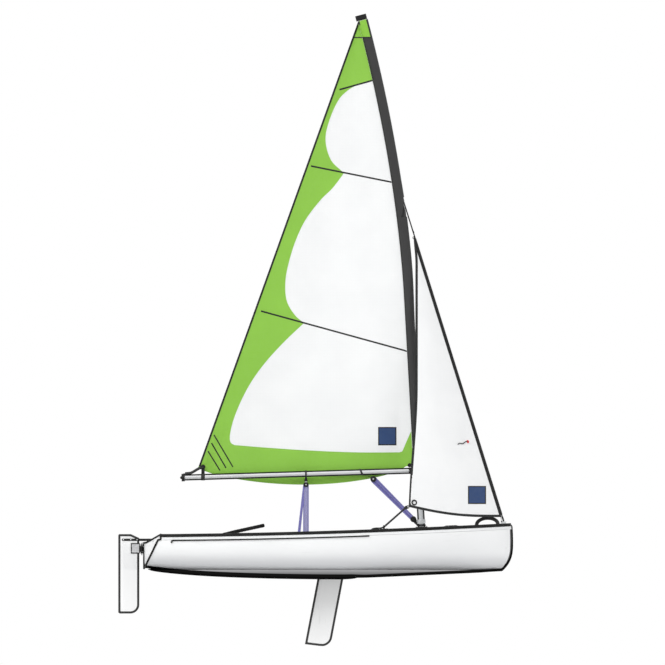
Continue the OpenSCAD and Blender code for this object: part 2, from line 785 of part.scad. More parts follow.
// ---- forestay and jib ----
stay_back = 67;
stay_rise = 27.4;
stay_foot = [half_l - stay_back, 0, sheer(half_l - stay_back) + stay_rise];
stay_r = 2.5;
stop_r = 7;
function stay_at(h) =
    let (top = hounds_centre(), t = (h - stay_foot.z) / (top.z - stay_foot.z))
    [mix(stay_foot.x, top.x, t), 0, h];
module forestay() color("silver") afloat() union() {
    bar(stay_foot, stay_at(hounds_h + 6), stay_r);
    translate(stay_at(hounds_h) + [0, 0, hounds_t / 2 + gap + stop_r]) sphere(r = stop_r);
}

// Plate on the foredeck: the stay's pin aft, a free hole for a tow shackle forward.
plate_t = 6;
plate_l = 52;
plate_hole_x = 14;
plate_hole_h = sheer(stay_foot.x) + 17;
plate_base_h = sheer(stay_foot.x + 32) + 0.5;
module plate_outline() {
    translate([-22, plate_base_h - plate_hole_h]) square([44, plate_hole_h - plate_base_h - 1]);
    for (x = [-plate_hole_x, plate_hole_x]) translate([x, 0]) circle(r = 8);
    translate([-plate_hole_x, -8]) square([2 * plate_hole_x, 12]);
}
module bow_plate() color("silver") afloat()
    translate([stay_foot.x, 0, 0])
        difference() {
            union() {
                translate([-plate_l / 2, -14, plate_base_h]) cube([plate_l, 28, 3]);
                translate([0, plate_t / 2, plate_hole_h])
                    rotate([90, 0, 0]) linear_extrude(height = plate_t) plate_outline();
            }
            for (x = [-plate_hole_x, plate_hole_x])
                translate([x, 0, plate_hole_h])
                    rotate([90, 0, 0]) cylinder(r = plate_hole_r, h = 60, center = true);
        }

jib_tack_h = 512;
jib_head_h = 2775;
jib_clew_x = 660;
jib_clew_h = 586;
jib_leech_x = 706;
jib_clew = [jib_clew_x, -jib_clew_out, jib_clew_h];
jib_rows = 14;
jib_cols = 8;
jib_off = 7;
jib_foot_drop = 28;
function jib_leech(v) = [
    mix(jib_clew.x, jib_leech_x, ramp(v, 0, 0.45)) - 14 * ramp(v, 0.9, 1),
    jib_clew.y * (1 - pow(v, 0.9)),
    mix(jib_clew.z, jib_head_h, v)
];
function jib_point(i, j) =
    let (v = i / jib_rows,
         t = j / jib_cols,
         luff = stay_at(mix(jib_tack_h, jib_head_h, v)) - [jib_off, 0, 0],
         leech = jib_leech(v),
         belly = jib_belly * sin(180 * pow(t, 0.9)) * (1 - v),
         drop = jib_foot_drop * sin(180 * t) * pow(1 - v, 6))
    mix(leech, luff, t) - [0, belly, drop];
function jib_side(out) = [for (i = [0 : jib_rows]) [for (j = [0 : jib_cols])
    jib_point(i, j) + [0, out * sail_t / 2, 0]]];
module jib() color("white") afloat() slab(jib_side(1), jib_side(-1));
ring_r = 14;
ring_hole_r = 7;
module jib_clew_ring() color([0.13, 0.13, 0.12]) afloat()
    translate(jib_clew - [ring_r + 2, sail_t / 2 - 1, 0])
        rotate([90, 0, 0])
            difference() {
                cylinder(r = ring_r, h = 6, center = true);
                cylinder(r = ring_hole_r, h = 12, center = true);
            }

// ---- cockpit fittings ----
strap_w = 40;
strap_t = 4;
strap_h = floor_h + 40;
strap_aft = well_start;
strap_front = sheet_x - 75;
module toe_strap() color([0.13, 0.13, 0.12]) afloat()
    translate([strap_aft, -strap_w / 2, strap_h]) cube([strap_front - strap_aft, strap_w, strap_t]);
module toe_strap_anchors() color("silver") afloat()
    for (x = [strap_aft + 20, strap_front - 20])
        translate([x - 8, -strap_w / 2 - 2, floor_h])
            cube([16, strap_w + 4, strap_h - floor_h - gap]);

module mainsheet_base() color([0.13, 0.13, 0.12]) afloat()
    translate([sheet_x, 0, floor_h])
        union() {
            cylinder(r = 38, h = 8);
            cylinder(r = 11, h = 30);
            translate([0, 0, 50])
                rotate([90, 0, 0]) cylinder(r = block_r + 3, h = block_w + 2, center = true);
        }

fairlead_x = 452;
fairlead_w = 26;
eye_h = 18;
eye_r = 15;
module jib_fairlead(side) {
    translate([0, side * (half_breadth(fairlead_x) - 75), 0]) on_deck(fairlead_x, 32) difference() {
        union() {
            translate([-32, -fairlead_w / 2, 0]) cube([64, fairlead_w, 6]);
            translate([0, 0, eye_h])
                rotate([90, 0, 90]) cylinder(r = eye_r, h = 14, center = true);
            translate([-7, -fairlead_w / 2, 0]) cube([14, fairlead_w, eye_h]);
        }
        translate([0, 0, eye_h]) rotate([90, 0, 90]) cylinder(r = 7, h = 40, center = true);
    }
}
module jib_fairlead_port() color([0.13, 0.13, 0.12]) afloat() jib_fairlead(1);
module jib_fairlead_starboard() color([0.13, 0.13, 0.12]) afloat() jib_fairlead(-1);

plug_x = strap_aft + 75;
module drain_plug() color([0.13, 0.13, 0.12]) afloat() translate([plug_x, 0, floor_h]) union() {
    cylinder(r = 22, h = 4);
    cylinder(r = 10, h = 12);
}
hatch_x = (mast_x + collar_r + handle_x - handle_l / 2) / 2;
hatch_r = 60;
module inspection_hatch() color([0.13, 0.13, 0.12]) afloat() on_deck(hatch_x, hatch_r) union() {
    cylinder(r = hatch_r, h = 5);
    translate([0, 0, 5]) cylinder(r = hatch_r - 14, h = 4);
}

hull_moulding();
deck_moulding();
gunwale_strake_port();
gunwale_strake_starboard();
keel_strip();
stem_band();
daggerboard_case();
mast_step();
bow_handle();
transom_plate();
gudgeons();
toe_strap();
toe_strap_anchors();
mainsheet_base();
jib_fairlead_port();
jib_fairlead_starboard();
drain_plug();
inspection_hatch();
bow_plate();
forestay();
lower_mast();
upper_mast();
mast_cap();
hounds_fitting();
luff_sleeve();
mainsail();
gooseneck();
tack_fitting();
boom();
boom_aft_cap();
clew_strap();
mainsheet_block();
vang_block();
vang_bracket();
jib();
jib_clew_ring();
rudder_blade();
rudder_bracket();
rudder_pin();
tiller();
tiller_joint();
tiller_extension();
daggerboard();
daggerboard_head();
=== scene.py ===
"""Looks for the junior sailing dinghy: hull, rig, sails, foils and running rigging."""

import math

import bmesh
import bpy
import numpy as np
from mathutils import Matrix, Vector


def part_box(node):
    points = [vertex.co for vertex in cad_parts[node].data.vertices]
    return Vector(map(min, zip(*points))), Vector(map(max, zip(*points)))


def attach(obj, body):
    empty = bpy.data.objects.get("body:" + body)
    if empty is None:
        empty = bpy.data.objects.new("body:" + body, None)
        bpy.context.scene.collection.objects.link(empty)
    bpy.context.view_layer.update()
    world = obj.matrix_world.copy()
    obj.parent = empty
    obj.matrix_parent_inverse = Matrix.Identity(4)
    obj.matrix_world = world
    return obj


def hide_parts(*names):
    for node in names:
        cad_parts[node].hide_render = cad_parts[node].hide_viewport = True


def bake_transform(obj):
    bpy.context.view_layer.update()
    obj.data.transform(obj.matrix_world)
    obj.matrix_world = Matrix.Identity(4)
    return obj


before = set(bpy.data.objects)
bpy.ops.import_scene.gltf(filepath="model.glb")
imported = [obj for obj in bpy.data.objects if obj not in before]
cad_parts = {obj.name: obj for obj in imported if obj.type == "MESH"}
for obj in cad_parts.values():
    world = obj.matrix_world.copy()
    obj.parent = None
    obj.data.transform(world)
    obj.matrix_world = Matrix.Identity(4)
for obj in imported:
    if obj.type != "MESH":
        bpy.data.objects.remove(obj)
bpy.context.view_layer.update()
scene = bpy.context.scene

# ---------------------------------------------------------------- small helpers
MM = 0.001
DRAUGHT = 78.0  # heights below are above the underside of the keel strip, in mm


def mix(a, b, t):
    return a + (b - a) * t


def ease(t):
    t = min(max(t, 0.0), 1.0)
    return t * t * (3 - 2 * t)


def ramp(x, a, b):
    return ease((x - a) / (b - a))


def sin_deg(a):
    return math.sin(math.radians(a))


def toned(colour, share):
    return [c * share for c in colour]


def circle(n, shift=0.0):
    """n places round the unit circle, as cosine and sine."""
    angles = [2 * math.pi * (k + shift) / n for k in range(n)]
    return [(math.cos(a), math.sin(a)) for a in angles]


def heading(points, i):
    """The way a line of points runs at point i."""
    return (points[min(i + 1, len(points) - 1)] - points[max(i - 1, 0)]).normalized()


def place(p):
    """A point in mm with its height above the keel strip, as metres in the frame."""
    return (p[0] * MM, p[1] * MM, (p[2] - DRAUGHT) * MM)


def smooth_path(points, steps=8):
    """Catmull-Rom curve through the points."""
    pts = [np.array(p, float) for p in points]
    pts = [2 * pts[0] - pts[1]] + pts + [2 * pts[-1] - pts[-2]]
    out = []
    for i in range(1, len(pts) - 2):
        a, b, c, d = pts[i - 1:i + 3]
        for k in range(steps):
            t = k / steps
            out.append(0.5 * (2 * b + (c - a) * t + (2 * a - 5 * b + 4 * c - d) * t ** 2
                              + (3 * b - a - 3 * c + d) * t ** 3))
    out.append(pts[-2])
    return out


# ---------------------------------------------------------------- mesh parts
class Parts:
    """Gathers closed forms, each with its material, into one mesh."""

    def __init__(self):
        self.verts, self.faces, self.mats, self.uvs = [], [], [], []

    def add(self, verts, faces, mat=0, matrix=None, uvs=None):
        start = len(self.verts)
        for v in verts:
            self.verts.append(tuple(matrix @ Vector(v)) if matrix is not None else tuple(v))
        for f in faces:
            self.faces.append([start + i for i in f])
            self.mats.append(mat)
            self.uvs.append([uvs[i] for i in f] if uvs else [(0.0, 0.0)] * len(f))
        return self

    def grid(self, lower, upper, mat=0):
        """A closed slab between two grids with the same rows and columns."""
        rows, cols = len(lower), len(lower[0])
        n = rows * cols
        verts = [p for g in (lower, upper) for row in g for p in row]
        faces = []
        for i in range(rows - 1):
            for j in range(cols - 1):
                a = i * cols + j
                faces.append((a, a + cols, a + cols + 1, a + 1))
                faces.append((n + a, n + a + 1, n + a + cols + 1, n + a + cols))
        for i in range(rows - 1):
            a, b = i * cols, i * cols + cols - 1
            faces.append((a, n + a, n + a + cols, a + cols))
            faces.append((b, b + cols, n + b + cols, n + b))
        for j in range(cols - 1):
            a, b = j, (rows - 1) * cols + j
            faces.append((a, a + 1, n + a + 1, n + a))
            faces.append((b, n + b, n + b + 1, b + 1))
        return self.add(verts, faces, mat)

    def loft(self, rings, mat=0, closed=False, uvs=None, matrix=None):
        """Rings of equal count; closed joins the last to the first, else both ends get a cap."""
        m, n = len(rings), len(rings[0])
        verts = [p for r in rings for p in r]
        faces = []
        for i in range(m if closed else m - 1):
            for k in range(n):
                a, b = i * n, ((i + 1) % m) * n
                faces.append((a + k, a + (k + 1) % n, b + (k + 1) % n, b + k))
        if not closed:
            faces.append(tuple(range(n - 1, -1, -1)))
            faces.append(tuple((m - 1) * n + k for k in range(n)))
        return self.add(verts, faces, mat, matrix, uvs)

    def tube(self, points, radius, sides=12, mat=0, round_ends=True):
        """A round tube along points, in metres, with domed ends and u along it in metres."""
        pts = [Vector(p) for p in points]
        radii = list(radius) if hasattr(radius, "__len__") else [radius] * len(pts)
        tangents = [heading(pts, i) for i in range(len(pts))]
        normal = tangents[0].orthogonal().normalized()
        rings, uvs, run = [], [], 0.0
        for i, p in enumerate(pts):
            if i:
                run += (p - pts[i - 1]).length
                normal = (normal - tangents[i] * normal.dot(tangents[i])).normalized()
            side = tangents[i].cross(normal)
            steps = [(0.0, 1.0)]
            if round_ends and i == 0:
                steps = [(-0.9, 0.3), (-0.7, 0.7), (-0.35, 0.93), (0.0, 1.0)]
            if round_ends and i == len(pts) - 1:
                steps = [(0.0, 1.0), (0.35, 0.93), (0.7, 0.7), (0.9, 0.3)]
            for shift, share in steps:
                middle = p + tangents[i] * (shift * radii[i])
                rings.append([middle + (normal * c + side * s) * radii[i] * share
                              for c, s in circle(sides)])
                uvs += [(run + shift * radii[i], k / sides) for k in range(sides)]
        return self.loft(rings, mat, uvs=uvs)

    def lathe(self, profile, sides=40, mat=0, matrix=None):
        """A profile of (radius, height) turned about Z; both ends close on the axis."""
        rings = [[(r * c, r * s, z) for c, s in circle(sides)] for r, z in profile]
        return self.loft(rings, mat, matrix=matrix)

    def ring(self, big, small, sides=32, mat=0, matrix=None, squash=1.0):
        """A torus about Z."""
        rings = [[((big + small * c) * turn_c, (big + small * c) * turn_s, small * squash * s)
                  for c, s in circle(12)] for turn_c, turn_s in circle(sides)]
        return self.loft(rings, mat, closed=True, matrix=matrix)

    def prism(self, outline, low, high, mat=0, matrix=None):
        """A flat outline in XY pushed from low to high along Z."""
        return self.loft([[(x, y, z) for x, y in outline] for z in (low, high)], mat, matrix=matrix)

    def build(self, name, mats, body, slot=None, replaces=(), angle=38.0):
        mesh = bpy.data.meshes.new(name)
        mesh.from_pydata(self.verts, [], self.faces)
        layer = mesh.uv_layers.new(name="UVMap")
        layer.data.foreach_set("uv", [c for f in self.uvs for uv in f for c in uv])
        obj = bpy.data.objects.new(name, mesh)
        scene.collection.objects.link(obj)
        for m in mats if isinstance(mats, (list, tuple)) else [mats]:
            mesh.materials.append(m)
        mesh.polygons.foreach_set("material_index", self.mats)
        tidy_normals(mesh)
        shade(mesh, angle)
        if body:
            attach(obj, body)
        if replaces:
            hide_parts(*replaces)
        return obj


def tidy_normals(mesh):
    bm = bmesh.new()
    bm.from_mesh(mesh)
    bmesh.ops.recalc_face_normals(bm, faces=bm.faces)
    bm.to_mesh(mesh)
    bm.free()


def shade(mesh, angle):
    """Smooth faces, with an edge left sharp where it turns more than angle degrees."""
    bm = bmesh.new()
    bm.from_mesh(mesh)
    for f in bm.faces:
        f.smooth = True
    for e in bm.edges:
        e.smooth = len(e.link_faces) == 2 and e.calc_face_angle(0.0) < math.radians(angle)
    bm.to_mesh(mesh)
    bm.free()


def apply_modifiers(obj):
    bpy.context.view_layer.update()
    graph = bpy.context.evaluated_depsgraph_get()
    mesh = bpy.data.meshes.new_from_object(obj.evaluated_get(graph))
    old = obj.data
    obj.modifiers.clear()
    obj.data = mesh
    bpy.data.meshes.remove(old)


def cut(obj, *cutters):
    """Takes the closed cutters, as Parts, out of obj."""
    for part in cutters:
        mesh = bpy.data.meshes.new("cutter")
        mesh.from_pydata(part.verts, [], part.faces)
        tidy_normals(mesh)
        tool = bpy.data.objects.new("cutter", mesh)
        scene.collection.objects.link(tool)
        mod = obj.modifiers.new("cut", "BOOLEAN")
        mod.object, mod.operation, mod.solver = tool, "DIFFERENCE", "EXACT"
        apply_modifiers(obj)
        bpy.data.objects.remove(tool)
        bpy.data.meshes.remove(mesh)


def mark(obj, name, values):
    layer = obj.data.attributes.new(name, "FLOAT", "POINT")
    layer.data.foreach_set("value", np.asarray(values, np.float32))


def coords(obj):
    co = np.zeros(len(obj.data.vertices) * 3)
    obj.data.vertices.foreach_get("co", co)
    return co.reshape(-1, 3)


def turned(origin, z_axis, x_hint=(1, 0, 0)):
    """A matrix with its Z along z_axis and its X near x_hint, at origin."""
    z = Vector(z_axis).normalized()
    x = Vector(x_hint) - z * Vector(x_hint).dot(z)
    if x.length < 1e-6:
        x = z.orthogonal()
    x.normalize()
    m = Matrix((x, z.cross(x), z)).transposed().to_4x4()
    m.translation = Vector(origin)
    return m


# ---------------------------------------------------------------- materials
class Nodes:
    """Short calls to build the node tree of a material, or of the world."""

    def __init__(self, name, rough=0.5, metal=0.0, tree=None, **sockets):
        self.tree = tree
        if tree:
            return
        self.mat = bpy.data.materials.new(name)
        self.mat.use_nodes = True
        self.tree = self.mat.node_tree
        self.shader = self.tree.nodes["Principled BSDF"]
        self.shader.inputs["Roughness"].default_value = rough
        self.shader.inputs["Metallic"].default_value = metal
        for key, value in sockets.items():
            self.shader.inputs[key.replace("_", " ")].default_value = value

    def node(self, kind, inputs=(), **props):
        n = self.tree.nodes.new("ShaderNode" + kind)
        for key, value in props.items():
            setattr(n, key, value)
        for key, value in dict(inputs).items():
            self.put(n.inputs[key], value)
        return n

    def put(self, socket, value):
        if isinstance(value, bpy.types.NodeSocket):
            self.tree.links.new(value, socket)
        else:
            socket.default_value = value

    def math(self, operation, a, b=0.0):
        return self.node("Math", {0: a, 1: b}, operation=operation).outputs[0]

    def place(self, scale=(1, 1, 1), turn=(0, 0, 0)):
        source = self.node("TexCoord").outputs["Object"]
        return self.node("Mapping", {"Vector": source, "Scale": scale, "Rotation": turn}).outputs[0]

    def noise(self, scale, stretch=(1, 1, 1), detail=3.0):
        return self.node("TexNoise", {"Vector": self.place(stretch), "Scale": scale,
                                      "Detail": detail}).outputs["Fac"]

    def cloud(self, scale, stretch=(1, 1, 1), detail=4.0, low=0.0, high=1.0):
        """Soft noise that runs from low to high."""
        return self.remap(self.noise(scale, stretch, detail), 0.3, 0.7, low, high)

    def remap(self, value, a, b, c, d, smooth=False):
        n = self.node("MapRange", {"Value": value, "From Min": a, "From Max": b,
                                   "To Min": c, "To Max": d},
                      interpolation_type="SMOOTHSTEP" if smooth else "LINEAR")
        return n.outputs["Result"]

    def blend(self, share, a, b):
        n = self.node("Mix", {}, data_type="RGBA")
        self.put(n.inputs[0], share)
        self.put(n.inputs[6], a if isinstance(a, bpy.types.NodeSocket) else (*a, 1.0))
        self.put(n.inputs[7], b if isinstance(b, bpy.types.NodeSocket) else (*b, 1.0))
        return n.outputs[2]

    def colour(self, socket):
        self.tree.links.new(socket, self.shader.inputs["Base Color"])
        return self

    def rough(self, socket):
        self.tree.links.new(socket, self.shader.inputs["Roughness"])
        return self

    def bump(self, *layers):
        """Layers of (height socket, distance in metres)."""
        normal = None
        for height, distance in layers:
            n = self.node("Bump", {"Height": height, "Distance": distance, "Strength": 1.0})
            if normal:
                self.tree.links.new(normal, n.inputs["Normal"])
            normal = n.outputs["Normal"]
        self.tree.links.new(normal, self.shader.inputs["Normal"])
        return self.mat

    def position(self):
        return self.node("SeparateXYZ", {"Vector": self.node("TexCoord").outputs["Object"]}).outputs

    def attribute(self, name):
        return self.node("Attribute", attribute_name=name).outputs["Fac"]


def moulded(name, base, dark, rough=0.4, peel=0.00012, grain=220.0):
    """Moulded plastic: faint mottling, fine scuffs and a slight orange peel."""
    n = Nodes(name, rough)
    mottle = n.cloud(3.0)
    scuff = n.remap(n.noise(14.0, (0.25, 1, 3), detail=6.0), 0.62, 0.74, 0.0, 0.5)
    n.colour(n.blend(scuff, n.blend(mottle, base, toned(base, 0.965)), dark))
    n.rough(n.cloud(9.0, (0.4, 1, 2), 5.0, rough - 0.08, rough + 0.14))
    return n.bump((n.noise(grain, detail=2.0), peel), (n.noise(2.2, detail=1.0), 0.0012))


def deck_grain(name, base, dark):
    """Moulded deck with the fine pebble of a non-slip finish."""
    n = Nodes(name, 0.62)
    mottle = n.remap(n.noise(5.0, detail=5.0), 0.35, 0.7, 0.0, 1.0)
    n.colour(n.blend(mottle, base, dark))
    pebble = n.node("TexVoronoi", {"Vector": n.place(), "Scale": 420.0}).outputs["Distance"]
    return n.bump((pebble, 0.0003), (n.noise(60.0), 0.0002))


def grip_pad(name, base, dark):
    """Raised non-slip pad with a diamond tread, its grooves painted darker as shade."""
    n = Nodes(name, 0.7)
    waves = []
    for turn in (0.62, -0.62):
        at = n.place((1, 1, 1), turn=(0, 0, turn))
        waves.append(n.node("TexWave", {"Vector": at, "Scale": 34.0}, wave_type="BANDS",
                            bands_direction="X").outputs["Fac"])
    tread = n.math("MULTIPLY", waves[0], waves[1])
    # Painted shade: the low parts of the tread take the darker colour.
    n.colour(n.blend(n.remap(tread, 0.1, 0.7, 0.0, 1.0), dark, base))
    return n.bump((tread, 0.0012), (n.noise(300.0), 0.0002))


def rubbery(name, base, worn, rough=0.55, grain=260.0, gloss=0.2):
    n = Nodes(name, rough, Specular_IOR_Level=gloss)
    wear = n.remap(n.noise(7.0, (1, 1, 2), detail=6.0), 0.52, 0.75, 0.0, 0.7)
    n.colour(n.blend(wear, base, worn))
    n.rough(n.cloud(20.0, low=rough - 0.1, high=rough + 0.12))
    return n.bump((n.noise(grain, detail=2.0), 0.00025), (n.noise(12.0), 0.0004))


def metal(name, base, rough=0.32, stretch=(60, 60, 1.5), bright=1.0):
    """Drawn metal: fine lines along the stretch axis and cloudy patches."""
    n = Nodes(name, rough, bright)
    lines = n.noise(18.0, stretch, detail=5.0)
    cloud = n.cloud(6.0)
    n.colour(n.blend(n.math("MULTIPLY", cloud, lines), base, toned(base, 0.8)))
    n.rough(n.remap(lines, 0.25, 0.75, rough - 0.08, rough + 0.14))
    return n.bump((lines, 0.00006), (n.noise(5.0), 0.0002))


def weave_height(n, pitch):
    """Over-and-under threads, pitch metres apart."""
    sets = [n.node("TexWave", {"Vector": n.place(), "Scale": 3.2 / (pitch * 20.0)},
                   wave_type="BANDS", bands_direction=way).outputs["Fac"] for way in ("X", "Z")]
    return n.math("ADD", *sets)


def cloth(name, base, shade_to, rough=0.62, pitch=0.0016, creases=0.0011, sheen=0.15):
    """Woven sailcloth with a ripstop grid, soft creases and a faint sheen."""
    n = Nodes(name, rough, Sheen_Weight=sheen, Sheen_Roughness=0.5)
    soft = n.cloud(2.6, detail=3.0)
    colour = n.blend(soft, base, shade_to)
    grid = ripstop(n)
    colour = n.blend(n.math("MULTIPLY", grid, 0.25), colour, toned(base, 0.86))
    n.colour(colour)
    n.rough(n.cloud(30.0, (1, 1, 1), 3.0, rough - 0.08, rough + 0.08))
    return n.bump((weave_height(n, pitch), 0.00012), (grid, 0.0002),
                  (n.noise(3.4, (1, 1, 1.6), detail=3.0), creases * 6))


def ripstop(n, pitch=0.012):
    """Thicker threads every pitch metres each way, as 0 to 1."""
    xyz = n.position()
    lines = []
    for axis in (0, 2):
        share = n.math("FRACT", n.math("DIVIDE", n.math("ADD", xyz[axis], 10.0), pitch))
        lines.append(n.math("LESS_THAN", share, 0.09))
    return n.math("MAXIMUM", lines[0], lines[1])


def braid(name, base, fleck, pitch=0.011, strands=3.0, rough=0.7, valley_shade=0.45):
    """Braided rope: two sets of strands that cross round it, with flecks and painted shade in the hollows
    between strands.
    """
    n = Nodes(name, rough, Sheen_Weight=0.06)
    uv = n.node("SeparateXYZ", {"Vector": n.node("TexCoord").outputs["UV"]}).outputs
    along = n.math("DIVIDE", uv[0], pitch)
    around = n.math("MULTIPLY", uv[1], strands)
    waves = []
    for sign in ("ADD", "SUBTRACT"):
        turn = n.math("MULTIPLY", n.math(sign, along, around), 2 * math.pi)
        waves.append(n.math("SINE", turn))
    height = n.math("MAXIMUM", waves[0], waves[1])
    # Painted shade: the hollows between strands take a darker copy of the base colour.
    n.colour(n.blend(n.remap(height, -0.4, 0.9, 0.0, 1.0), toned(base, valley_shade),
                     n.blend(n.math("GREATER_THAN", n.math("MULTIPLY", waves[0], waves[1]), 0.72),
                             base, fleck)))
    return n.bump((height, 0.0007), (n.noise(900.0), 0.0002))


def webbing(name, base, edge):
    """Flat woven tape with ribs across."""
    n = Nodes(name, 0.75, Sheen_Weight=0.05)
    ribs = n.node("TexWave", {"Vector": n.place(), "Scale": 150.0}, wave_type="BANDS",
                  bands_direction="DIAGONAL").outputs["Fac"]
    # Painted shade: the grooves between the ribs take the darker base tone, the raised ribs the lighter
    # one.
    n.colour(n.blend(n.remap(ribs, 0.2, 0.8, 0.0, 1.0), base, edge))
    return n.bump((ribs, 0.0004), (n.noise(400.0), 0.0002))


def foil_skin(name, base, dark):
    """Moulded foil, pale with a dark edge that the mesh marks."""
    n = Nodes(name, 0.34)
    mottle = n.cloud(4.0, (1, 1, 0.4))
    pale = n.blend(mottle, base, toned(base, 0.95))
    scuff = n.remap(n.noise(26.0, (1, 1, 0.15), detail=6.0), 0.6, 0.74, 0.0, 0.35)
    pale = n.blend(scuff, pale, (0.55, 0.56, 0.56))
    band = n.remap(n.attribute("edge"), 0.0165, 0.0195, 1.0, 0.0)
    n.colour(n.blend(band, pale, dark))
    n.rough(n.remap(band, 0.0, 1.0, 0.32, 0.55))
    return n.bump((band, 0.0006), (n.noise(180.0), 0.00012))


def sleeve_cloth():
    """Dark sleeve, green over the head seam, with a black hem behind and round the head."""
    n = Nodes("sleeve_weave", 0.72, Sheen_Weight=0.05, Sheen_Roughness=0.5)
    soft = n.cloud(2.6, detail=3.0)
    dark = n.blend(soft, (0.024, 0.0235, 0.024), (0.031, 0.0305, 0.031))
    green = n.blend(soft, GREEN, GREEN_SHADE)
    head, aft = n.attribute("head"), n.attribute("aft")
    over = n.math("GREATER_THAN", head, 0.0)
    seam = n.math("LESS_THAN", n.math("ABSOLUTE", head), 0.006)
    hem = n.math("GREATER_THAN", aft, 0.0275)
    beside_sail = n.math("MULTIPLY", over, n.math("LESS_THAN", head, 0.1))
    hem = n.math("MULTIPLY", hem, n.math("SUBTRACT", 1.0, beside_sail))
    front = n.math("MULTIPLY", over, n.math("LESS_THAN", aft, -0.027))
    black = n.math("MAXIMUM", seam, n.math("MAXIMUM", hem, front))
    grid = ripstop(n)
    colour = n.blend(n.math("MULTIPLY", grid, 0.12), n.blend(over, dark, green), BLACK)
    n.colour(n.blend(black, colour, BLACK))
    return n.bump((weave_height(n, 0.0018), 0.00012), (grid, 0.0002), (black, 0.0006),
                  (n.noise(3.4, (1, 1, 1.6), detail=3.0), 0.004))


def edged_spar(name, base, dark, stretch, slope, origin, limit):
    """Drawn metal with a dark track along its two edges, where |x or z - line| passes limit."""
    n = Nodes(name, 0.4, 0.55)
    lines = n.noise(18.0, stretch, detail=5.0)
    cloud = n.cloud(6.0)
    xyz = n.position()
    along, across = (xyz[0], xyz[2]) if slope[0] else (xyz[2], xyz[0])
    line = n.math("ADD", n.math("MULTIPLY", along, slope[1]), origin)
    off = n.math("ABSOLUTE", n.math("SUBTRACT", across, line))
    band = n.remap(off, limit - 0.0006, limit + 0.0006, 0.0, 1.0)
    pale = n.blend(n.math("MULTIPLY", cloud, lines), base, toned(base, 0.8))
    n.colour(n.blend(band, pale, dark))
    n.rough(n.remap(band, 0.0, 1.0, 0.4, 0.6))
    return n.bump((lines, 0.00006), (band, 0.0008), (n.noise(5.0), 0.0002))


def hull_finish(name, gloss, rough, high, low, shade_high, painted_shade_low):
    """Moulded hull with painted shade: greyer between two heights, and dark grey below the waterline where
    the finish is glossy, with a black band along keel and stem.
    """
    n = Nodes(name, rough, Specular_IOR_Level=gloss)
    mottle = n.cloud(3.0)
    scuff = n.remap(n.noise(14.0, (0.25, 1, 3), detail=6.0), 0.62, 0.74, 0.0, 0.35)
    # Painted shade: the colour darkens from height high down to height low, where the hull turns under.
    down = n.remap(n.position()[2], high, low, 0.0, 1.0, True)
    pale = n.blend(mottle, shade_high, toned(shade_high, 0.97))
    pale = n.blend(scuff, pale, toned(shade_high, 0.87))
    shaded = n.blend(down, pale, painted_shade_low)
    # Painted shade below the waterline, full on the glossy look and none on the matt one.
    below_water_shade = n.remap(n.position()[2], 0.003, -0.002, 0.0, 1.0, True)
    shaded = n.blend(n.math("MULTIPLY", below_water_shade, gloss * 2), shaded, BOTTOM_SHADE_GREY)
    band = n.remap(n.attribute("keel_band"), -0.0006, 0.0006, 1.0, 0.0)
    n.colour(n.blend(band, shaded, BLACK))
    n.rough(n.cloud(9.0, (0.4, 1, 2), 5.0, rough - 0.08, rough + 0.12))
    return n.bump((n.noise(220.0, detail=2.0), 0.0001), (band, 0.0006),
                  (n.noise(2.2, detail=1.0), 0.0012))


def bracket_finish(x_dark, low, high):
    """Alloy cheek plate with a dark edge, and dark forward of x_dark."""
    n = Nodes("bracket_plate", 0.42, 0.4)
    cloud = n.cloud(30.0)
    x, _, z = n.position()
    dark = n.remap(x, x_dark - 0.0006, x_dark + 0.0006, 0.0, 1.0)
    for value, edge, sign in ((x, low[0], 1), (z, low[2], 1), (z, high[2], -1)):
        near = n.remap(n.math("SUBTRACT", value, edge), sign * 0.0082, sign * 0.0092, 1.0, 0.0)
        dark = n.math("MAXIMUM", dark, near)
    n.colour(n.blend(dark, n.blend(cloud, (0.6, 0.6, 0.61), (0.52, 0.52, 0.53)), BLACK))
    n.rough(n.remap(cloud, 0.0, 1.0, 0.36, 0.52))
    return n.bump((n.noise(300.0), 0.0001), (dark, 0.0006))


WHITE = (0.93, 0.935, 0.935)
GREEN = (0.262, 0.571, 0.050)
BLACK = (0.008, 0.008, 0.0078)
NAVY = (0.006, 0.036, 0.13)
WHITE_SHADE, GREEN_SHADE = (0.88, 0.885, 0.89), toned(GREEN, 0.93)
# Painted shade: the grey for the hull's bottom below the waterline.
BOTTOM_SHADE_GREY = (0.42, 0.422, 0.43)

mat_hull = moulded("hull_moulded", (0.93, 0.935, 0.94), (0.78, 0.79, 0.8))
mat_deck = deck_grain("deck_moulded", (0.9, 0.905, 0.91), (0.85, 0.86, 0.865))
mat_pad = grip_pad("deck_grip", (0.62, 0.63, 0.64), (0.5, 0.51, 0.52))
mat_rubber = rubbery("black_strip", BLACK, (0.02, 0.02, 0.019), 0.62)
mat_keel = rubbery("black_keel_strip", BLACK, (0.012, 0.012, 0.0115), 0.75, 260.0, 0.0)
mat_plastic = rubbery("black_fitting", (0.011, 0.011, 0.011), (0.035, 0.035, 0.034), 0.45, 420.0)
mat_foam = rubbery("foam_grip", (0.009, 0.009, 0.009), (0.022, 0.022, 0.022), 0.85, 900.0)
mat_tube = rubbery("black_tube_coat", (0.01, 0.01, 0.0105), (0.032, 0.032, 0.032), 0.38, 120.0)
mat_steel = metal("stainless", (0.66, 0.67, 0.68), 0.24, (8, 8, 8))
mat_alloy = metal("spar_alloy_satin", (0.66, 0.67, 0.68), 0.4, (60, 60, 1.2), 0.55)
mat_sleeve = sleeve_cloth()
mat_black_cloth = cloth("black_tape", (0.006, 0.006, 0.006), (0.011, 0.011, 0.011), 0.8, 0.0012,
                        0.0003, 0.02)
